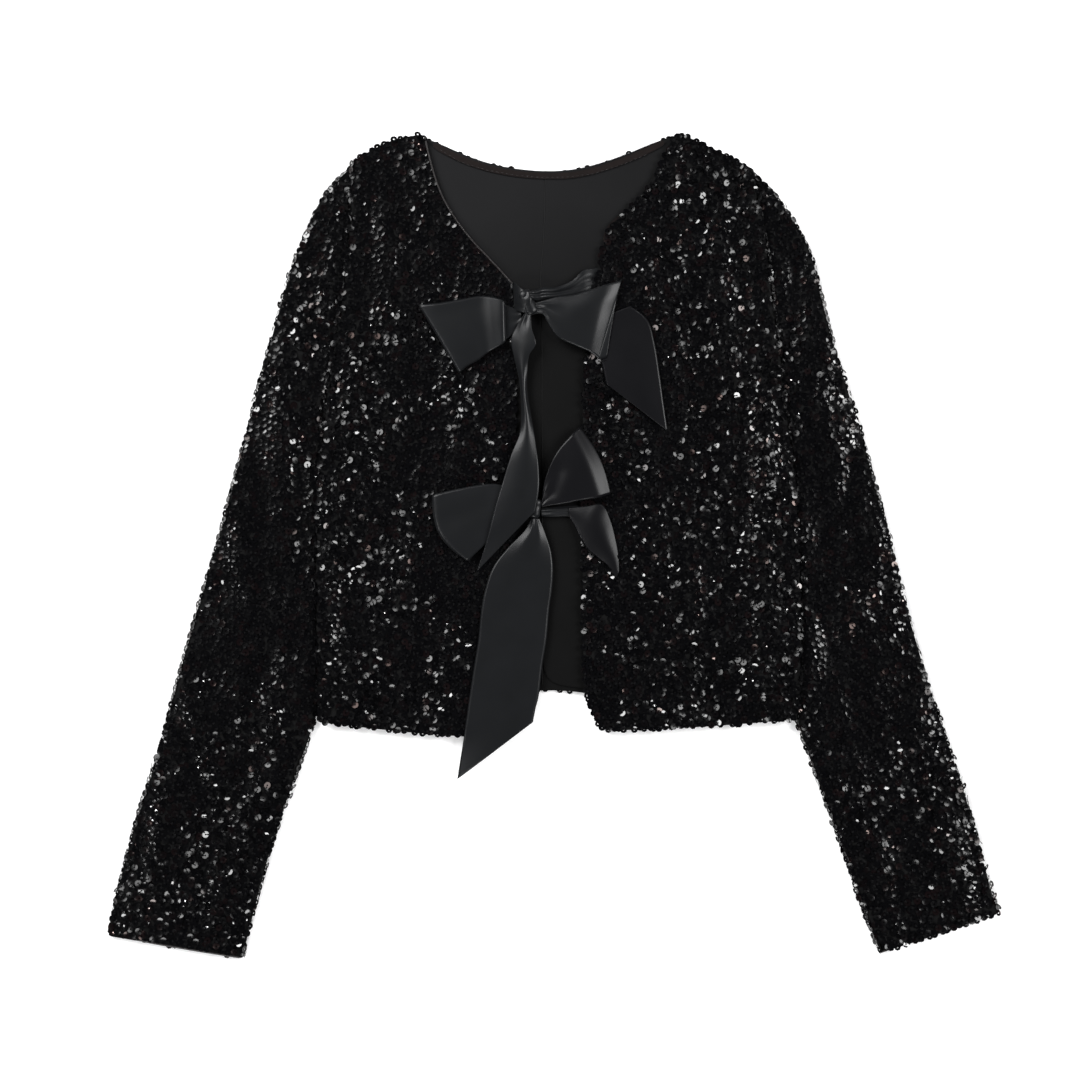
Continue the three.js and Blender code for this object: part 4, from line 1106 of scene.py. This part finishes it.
LOWER_TIE_LEFT = [
    [-36, 31, 4.3, -36, 21, 4.3, 0, 0],
    [-31, 31.5, 4.3, -31, 22, 4.3, 0, 0],
    [-26, 31.5, 4.6, -26, 23, 4.6, 0, 0],
    [-22, 31, 6.2, -22, 24, 6.2, 0, 0],
    [-18.8, 30.5, 7.6, -18.8, 25, 7.6, 0, 0],
]
LOWER_TIE_RIGHT = [
    [-8.5, 28, 9.4, -8.5, 22.4, 9.4, 0.4, 0],
    [-1, 29, 7.4, -1, 22, 7.4, 0.4, 0],
    [12, 30, 6, 12, 22.4, 6, 0.2, 0],
    [19, 30.4, 4.6, 19, 22, 4.6, 0, 0],
    [23, 31, 4.3, 23, 22, 4.3, 0, 0],
    [29, 31, 4.3, 29, 22, 4.3, 0, 0],
]
LOWER_TAIL_RIGHT = [
    [12, 28.4, 7.7, 12, 22.6, 7.7, 0.3, 0],
    [26, 30, 8.8, 16.5, 15, 8.2, 1.2, 0],
    [37, 31, 9.2, 20.5, 6, 8.6, 2.2, 0],
    [43, 20, 9, 26, -2, 9, 2.4, 0],
    [46.5, 7, 8.9, 33, -8, 9, 2, 0],
    [49, -7.5, 8.8, 41, -14.5, 8.8, 1, 0],
    [49.4, -19.5, 8.6, 47.4, -24, 8.5, 0.2, 0],
]
LOWER_TAIL_LONG = [
    [-16.5, 20.6, 10, -10.5, 20.6, 10, 0.6, 0],
    [-21, 12, 9.4, -6, 10, 9.4, 1.8, 0],
    [-34, -1.5, 8.8, -1.5, -4, 8.8, 2, 0],
    [-45, -16, 8.6, 0, -18, 8.6, 1.2, 0],
    [-51, -33, 8.5, -1, -34, 8.4, 0.5, 0],
    [-54, -49.5, 8.5, -3, -48, 8.3, 0.3, 0],
    [-56, -70.5, 8.5, -5, -70.5, 8.2, 0.4, 0],
    [-59, -89, 8.5, -8, -89, 8.2, 0.4, 0],
    [-63, -115.5, 8.5, -10.5, -111, 8.2, 0.3, 0],
    [-67, -144, 8.6, -13, -121.5, 8.4, 0.4, 0],
    [-72, -175.5, 2.4, -15, -132, 8.6, 2.4, 0],
]
UPPER_LOOP_LEFT = [
    [-23.5, 176.4, -23.9, 166.5, 9.3, 8.6, 0.1, 0],
    [-28, 177.6, -28, 161, 9.2, 8.6, 0, 0],
    [-37.2, 181.6, -36.6, 153.6, 9.4, 8.6, 0, 0],
    [-36.3, 182, -35.5, 153.8, 11.6, 8.6, 0, 0],
    [-36.9, 183, -36.1, 152.9, 14.2, 8.6, 0, 0],
    [-39.2, 184.4, -38.3, 151.2, 14.6, 8.6, 0.2, 0],
    [-46.5, 186.4, -44, 147.8, 13.2, 8.6, 0.6, 0],
    [-56, 187, -49.5, 144.6, 11.6, 8.6, 0.9, 0],
    [-70, 184.5, -56, 139.5, 11.8, 8.5, 1.1, 0],
    [-85, 182, -64, 135, 12, 8.4, 0.9, 0],
    [-97, 181, -69, 131, 11.8, 8.4, 0.4, 0],
    [-100.5, 180.5, -70.5, 130, 10.2, 10.2, 0, 0],
]
UPPER_LOOP_RIGHT = [
    [-13.6, 181.8, -13.6, 174, 12, 10.2, 0.3, 0],
    [-7, 183.6, -7.5, 173.5, 12.4, 9.6, 0.6, 0],
    [3, 186.4, -2.6, 165, 12.8, 9.2, 1, 0],
    [15.5, 188, 4.5, 156, 13.3, 9.4, 1.2, 0],
    [29, 192, 17.5, 149.6, 13.6, 9.7, 1.5, 0],
    [38, 195, 26, 146, 13.3, 9.9, 1.4, 0],
    [44, 197, 30, 143.5, 12.3, 9.9, 1.1, 0],
    [49, 198.5, 33.2, 141, 10.9, 9.9, 0.6, 0],
    [51, 199, 34.5, 140, 10.3, 10.3, 0, 0],
]
LOWER_LOOP_LEFT = [
    [-18.6, 33.6, -18.6, 25, 10.8, 9.2, 0.3, 0],
    [-26, 40, -26, 19.5, 11.6, 8.8, 0.6, 0],
    [-40, 46, -36, 13, 12, 8.5, 0.7, 0],
    [-53, 46, -44, 7.5, 12, 8.4, 0.8, 1],
    [-68, 43.5, -52, 0, 12, 8.4, 0.8, 3],
    [-80, 41, -58.5, -6, 11.9, 8.4, 0.6, 6],
    [-88, 39, -63, -10.5, 11.7, 8.4, 0.3, 8],
    [-90.5, 38, -64.5, -11, 10.1, 10.1, 0, 9],
]
LOWER_LOOP_RIGHT = [
    [-8.5, 35, -8.5, 29.2, 10.8, 9.2, 0.3, 0],
    [-6, 49.5, -1.5, 30.5, 11.6, 8.8, 0.6, 0],
    [-1, 63, 9, 31.8, 12.4, 8.5, 0.6, 0],
    [5, 73.5, 20, 34, 13, 8.5, 0.7, 1],
    [13.5, 83, 33, 36, 13.3, 8.5, 0.8, 2],
    [18.3, 88, 40, 38, 11, 8.4, 0.4, 3],
    [20, 89, 43, 39, 9.6, 9.6, 0, 4],
]
print("rows of the longest ribbon:", len(UPPER_TAIL_LONG))

# %% [markdown]
# A loop is one band that goes out along the top, turns and comes back underneath, so its rows are
# laid twice, once at each height. Pleats start at the knot, where the ribbon is pulled together, and
# fade outwards. A Solidify modifier gives the band its thickness at the end.

# %% Laying a ribbon through its rows
RIBBON_MM = 0.35
RIBBON_WIDTH_MM = 50
ACROSS, STEPS = 26, 9  # faces across a ribbon, and from one row to the next
LOOP_TURN = (0.4, 0.5)  # where along a loop its upper layer comes to an end


def smooth_step(low, high, value):
    t = min(max((value - low) / (high - low), 0), 1)
    return t * t * (3 - 2 * t)


def row_at(rows, share):
    """The row at a share of the way along, on a Catmull-Rom curve through the given ones."""
    place = share * (len(rows) - 1)
    i = min(int(place), len(rows) - 2)
    t = place - i
    a, b, c, d = (np.array(rows[min(max(i + k, 0), len(rows) - 1)], float) for k in (-1, 0, 1, 2))
    slope_b, slope_c = (c - a) / 2, (d - b) / 2
    t2, t3 = t * t, t**3
    at_rows = (2 * t3 - 3 * t2 + 1) * b + (3 * t2 - 2 * t3) * c
    return at_rows + (t3 - 2 * t2 + t) * slope_b + (t3 - t2) * slope_c


def both_layers(rows, under_shift=()):
    """A loop's rows as one path, out along the top and back underneath, the under edge b shifted."""
    out = [[ax, ay, top, bx, by, top, crown, bulge] for ax, ay, bx, by, top, under, crown, bulge in rows]
    back = []
    for i, (ax, ay, bx, by, top, under, crown, bulge) in enumerate(rows[:-1]):
        shift = under_shift[i] if i < len(under_shift) else (0, 0)
        back.append([ax, ay, under, bx + shift[0], by + shift[1], under, 0, bulge])
    return out + back[::-1]


# These three get the darker copy of the satin, as painted shade.
PAINTED_SHADE_RIBBONS = ("upper_tail_right_ribbon", "lower_loop_right_ribbon", "lower_tail_right_ribbon")


def lay_ribbon(name, rows, pleats=(), strokes=(), layers=1):
    """pleats: place across from 0 to 1, half width, height in mm, and the share along where each
    has faded. strokes: start, end, half width and height in mm, on the upper layer only."""
    mesh = bmesh.new()
    along = STEPS * (len(rows) - 1)
    bmesh.ops.create_grid(mesh, x_segments=ACROSS, y_segments=along, size=1)
    start = np.array(rows[0], float)
    uv = mesh.loops.layers.uv.new("along_ribbon")
    length = sum(
        math.dist(np.add(p[0:3], p[3:6]) / 2, np.add(q[0:3], q[3:6]) / 2) for p, q in zip(rows, rows[1:])
    )
    for face in mesh.faces:
        face.smooth = True
        for loop in face.loops:
            u, v = (loop.vert.co.x + 1) / 2, (loop.vert.co.y + 1) / 2
            loop[uv].uv = (u * RIBBON_WIDTH_MM * MM, v * length * MM)
    for vertex in mesh.verts:
        u, v = (vertex.co.x + 1) / 2, (vertex.co.y + 1) / 2
        row = row_at(rows, v)
        a, b, (crown, bulge) = row[0:3], row[3:6], row[6:8]
        point = a + (b - a) * u
        away = np.array([a[1] - b[1], b[0] - a[0], 0.0])
        away /= max(np.linalg.norm(away), 1e-6)
        if np.dot(away, (a + b) / 2 - start[0:3]) < 0:
            away = -away
        hump = math.sin(math.pi * u)
        point = point + away * bulge * hump
        point[2] += crown * hump
        upper = 1 if layers == 1 else 1 - smooth_step(*LOOP_TURN, v)
        for at, half_width, height, fade in pleats:
            bell = math.exp(-(((u - at) / half_width) ** 2))
            point[2] += height * bell * (1 - smooth_step(0, fade, v)) * upper
        if strokes and upper:
            point[2] += upper * soft_strokes(strokes, point[0], point[1])
        vertex.co = Vector(point) * MM
    bmesh.ops.recalc_face_normals(mesh, faces=mesh.faces)
    made = bpy.data.objects.new(name, bpy.data.meshes.new(name))
    mesh.to_mesh(made.data)
    mesh.free()
    made.data.materials.append(ribbon_painted_shade if name in PAINTED_SHADE_RIBBONS else ribbon_satin)
    bpy.context.scene.collection.objects.link(made)
    wall = made.modifiers.new("ribbon_thickness", "SOLIDIFY")
    wall.thickness, wall.offset = RIBBON_MM * MM, 0
    return freeze(made)


# %% [markdown]
# Each ribbon is now laid in turn. The ties come out from under the fronts' edges, the loops start at
# the knots, and the tails fall from them.

# %% Ties, from under the fronts to the knots
ribbons = {
    "upper_tie_left": lay_ribbon(
        "upper_tie_left_ribbon", UPPER_TIE_LEFT, [(0.35, 0.14, 0.4, 2), (0.8, 0.12, -0.4, 2)]
    ),
    "upper_tie_right": lay_ribbon(
        "upper_tie_right_ribbon",
        UPPER_TIE_RIGHT,
        [(0.22, 0.16, 0.8, 2), (0.5, 0.14, -0.6, 2), (0.78, 0.17, 1.0, 1.6)],
    ),
    "lower_tie_left": lay_ribbon("lower_tie_left_ribbon", LOWER_TIE_LEFT, [(0.5, 0.2, 0.4, 1.4)]),
    "lower_tie_right": lay_ribbon(
        "lower_tie_right_ribbon", LOWER_TIE_RIGHT, [(0.3, 0.18, 1.1, 1.6), (0.75, 0.16, 0.7, 1.4)]
    ),
}
print("ties:", len(ribbons))

# %% [markdown]
# The four loops differ in length and in how far they stand open. Where the under layer shows past
# the upper one, its edge is shifted outwards. A stroke on each upper layer gives it a soft swell or
# dent that the light picks out.

# %% Loops
ribbons["upper_loop_left"] = lay_ribbon(
    "upper_loop_left_ribbon",
    both_layers(UPPER_LOOP_LEFT),
    [(0.3, 0.12, 0.4, 0.1), (0.7, 0.12, 0.4, 0.1)],
    [(-60, 188, -88, 182, 6, 0.6)],
    layers=2,
)
ribbons["upper_loop_right"] = lay_ribbon(
    "upper_loop_right_ribbon",
    both_layers(UPPER_LOOP_RIGHT, [(0, 0)] * 4 + [(1, 0), (2, 0), (4, 0), (7, 1)]),
    [(0.25, 0.1, 0.7, 0.24), (0.5, 0.09, -0.8, 0.2), (0.75, 0.1, 0.7, 0.22)],
    [(16, 178, 40, 186, 7, 0.5)],
    layers=2,
)
ribbons["lower_loop_left"] = lay_ribbon(
    "lower_loop_left_ribbon",
    both_layers(LOWER_LOOP_LEFT),
    [(0.3, 0.12, 0.6, 0.22), (0.6, 0.12, -0.6, 0.2)],
    [(-52, 30, -76, 20, 8, -0.6)],
    layers=2,
)
ribbons["lower_loop_right"] = lay_ribbon(
    "lower_loop_right_ribbon",
    both_layers(LOWER_LOOP_RIGHT),
    [(0.35, 0.12, 0.6, 0.24), (0.65, 0.12, -0.6, 0.2)],
    [(-2, 40, 4, 56, 6, -1.2)],
    layers=2,
)
print("ties and loops:", len(ribbons))

# %% [markdown]
# The tails are single layers. The long upper one is gathered nearly to a cord and opens again at its
# end. The others lie open, and their cut ends slant.

# %% Tails
ribbons["upper_tail_right"] = lay_ribbon("upper_tail_right_ribbon", UPPER_TAIL_RIGHT)
ribbons["upper_tail_long"] = lay_ribbon(
    "upper_tail_long_ribbon", UPPER_TAIL_LONG, [(0.3, 0.12, 0.6, 0.14), (0.65, 0.12, -0.5, 0.12)]
)
ribbons["lower_tail_right"] = lay_ribbon("lower_tail_right_ribbon", LOWER_TAIL_RIGHT)
ribbons["lower_tail_long"] = lay_ribbon(
    "lower_tail_long_ribbon", LOWER_TAIL_LONG, [(0.3, 0.1, 0.6, 0.3), (0.7, 0.1, 0.5, 0.25)]
)
print("faces:", {piece.name: len(piece.data.polygons) for piece in ribbons.values()})

# %% [markdown]
# ## The knots
#
# A knot is the ribbon wrapped tightly round itself. It starts as a sphere whose poles lie along Y.
# The sphere is made fuller, nearly a drum, and narrow at the waist, and grooves run round it where
# the ribbon is pleated.

# %% Knots
# Each knot, in mm: middle, half width, half length, half height, turn in degrees.
KNOTS = {
    "upper_knot": ((-18.8, 182.3, 12.0), 5.4, 9.8, 3.8, 22),
    "lower_knot": ((-13.5, 28.3, 10.2), 4.6, 7.2, 3.2, -8),
}
GROOVE, WAIST, WAIST_WIDTH = 0.03, 0.08, 0.4  # shares of the knot's size
CLOSENESS, SWING = 2.4 * math.pi, 0.9  # how close the grooves lie, and how far they swing round it
FULLEST = 6  # keeps the poles from being blown up


def tie_knot(node, middle, half_width, half_length, half_height, turn):
    mesh = bmesh.new()
    bmesh.ops.create_uvsphere(mesh, u_segments=40, v_segments=28, radius=1)
    for vertex in mesh.verts:
        x, y, z = vertex.co.x, vertex.co.z, vertex.co.y
        round_about = math.atan2(z, x)
        fuller = (1 - y**4) ** 0.25 / max((1 - y * y) ** 0.5, 1e-3)
        pleat = 1 + GROOVE * math.cos(CLOSENESS * y + SWING * math.sin(round_about)) * (1 - y * y)
        waist = 1 - WAIST * math.exp(-((y / WAIST_WIDTH) ** 2))
        spread = min(fuller, FULLEST) * pleat * waist
        vertex.co = (x * spread * half_width, y * half_length, z * spread * half_height)
    bmesh.ops.recalc_face_normals(mesh, faces=mesh.faces)
    angle = math.radians(turn)
    for vertex in mesh.verts:
        x, y, z = vertex.co
        turned = (x * math.cos(angle) - y * math.sin(angle), x * math.sin(angle) + y * math.cos(angle), z)
        vertex.co = (Vector(turned) + Vector(middle)) * MM
    uv = mesh.loops.layers.uv.new("along_ribbon")
    for face in mesh.faces:
        face.smooth = True
        for loop in face.loops:
            loop[uv].uv = (loop.vert.co.y, loop.vert.co.x)
    knot = bpy.data.objects.new(node + "_ribbon", bpy.data.meshes.new(node + "_ribbon"))
    mesh.to_mesh(knot.data)
    mesh.free()
    knot.data.materials.append(ribbon_satin)
    bpy.context.scene.collection.objects.link(knot)
    return knot


for node, shape in KNOTS.items():
    ribbons[node] = tie_knot(node, *shape)
print("knots:", len(KNOTS))

# %% [markdown]
# ## Attaching the pieces
#
# Every piece rides on the one body, and each piece that stands for a solid hides that solid. For each
# piece of cloth or ribbon, its size laid flat is printed beside the area that shows.

# %% Ride and replace
for node, piece in {**cloth, **linings, **ribbons}.items():
    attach(piece, "root")
    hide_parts(node)
for sewn in (row for rows in sequins.values() for row in rows):
    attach(sewn, "root")
for name, piece in rolls.items():
    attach(piece, "root")
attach(binding_stitches, "root")
print("handed over:", len({**cloth, **linings, **ribbons}), "pieces that stand for solids")

# %% [markdown]
# A sheet's flat size is that of the cloth as it would lie when unpicked, so a sleeve's width is all
# the way round.

# %% The size of each sheet laid flat
# Each sheet: width and length laid flat in m, area in m2, how it is held, what it lies on, and what
# is sewn to it.
SHEETS = {
    "back_panel": (0.31, 0.44, 0.125, "laid", "board", []),
    "back_lining_left": (
        0.142, 0.432, 0.0554, "laid", "back_panel",
        [linings["back_neck_binding"], binding_stitches],
    ),
    "back_lining_right": (0.164, 0.432, 0.0646, "laid", "back_panel", [rolls["back_lining_seam"]]),
    "front_left": (
        0.175, 0.455, 0.065, "laid", "back_lining_left",
        [linings["front_binding_left"], rolls["front_binding_left_roll"]],
    ),
    "front_right": (0.185, 0.452, 0.0703, "laid", "back_lining_right", [linings["front_binding_right"]]),
    "sleeve_left": (0.26, 0.6, 0.102, "laid", "board", [rolls["sleeve_left_hem"]]),
    "sleeve_right": (0.25, 0.59, 0.0933, "laid", "board", [rolls["sleeve_right_hem"]]),
    "upper_tie_left": (0.024, 0.03, None, "gathered", "front_left", []),
    "upper_tie_right": (0.014, 0.062, None, "gathered", "front_right", []),
    "upper_knot": (0.016, 0.019, None, "folded", "upper_tie_left", []),
    "upper_loop_left": (0.053, 0.156, 0.0062, "folded", "front_left", []),
    "upper_loop_right": (0.05, 0.134, 0.0053, "folded", "front_right", []),
    "upper_tail_right": (0.05, 0.075, 0.0033, "laid", "front_right", []),
    "upper_tail_long": (0.05, 0.205, 0.0042, "gathered", "front_left", []),
    "lower_tie_left": (0.01, 0.018, None, "gathered", "front_left", []),
    "lower_tie_right": (0.01, 0.038, None, "gathered", "front_right", []),
    "lower_knot": (0.012, 0.016, None, "folded", "lower_tie_left", []),
    "lower_loop_left": (0.053, 0.15, 0.0062, "folded", "front_left", []),
    "lower_loop_right": (0.052, 0.13, 0.0048, "folded", "front_right", []),
    "lower_tail_right": (0.035, 0.055, 0.0014, "laid", "front_right", []),
    "lower_tail_long": (0.052, 0.196, 0.0088, "laid", "front_left", []),
}
for node, (width, length, area, held, below, sewn_on) in SHEETS.items():
    piece = {**cloth, **linings, **ribbons}[node]
    shows = sum(polygon.area for polygon in piece.data.polygons) / 2
    print(node, f"{shows * 1e4:.1f} cm2 of", f"{(area or width * length) * 1e4:.1f}")
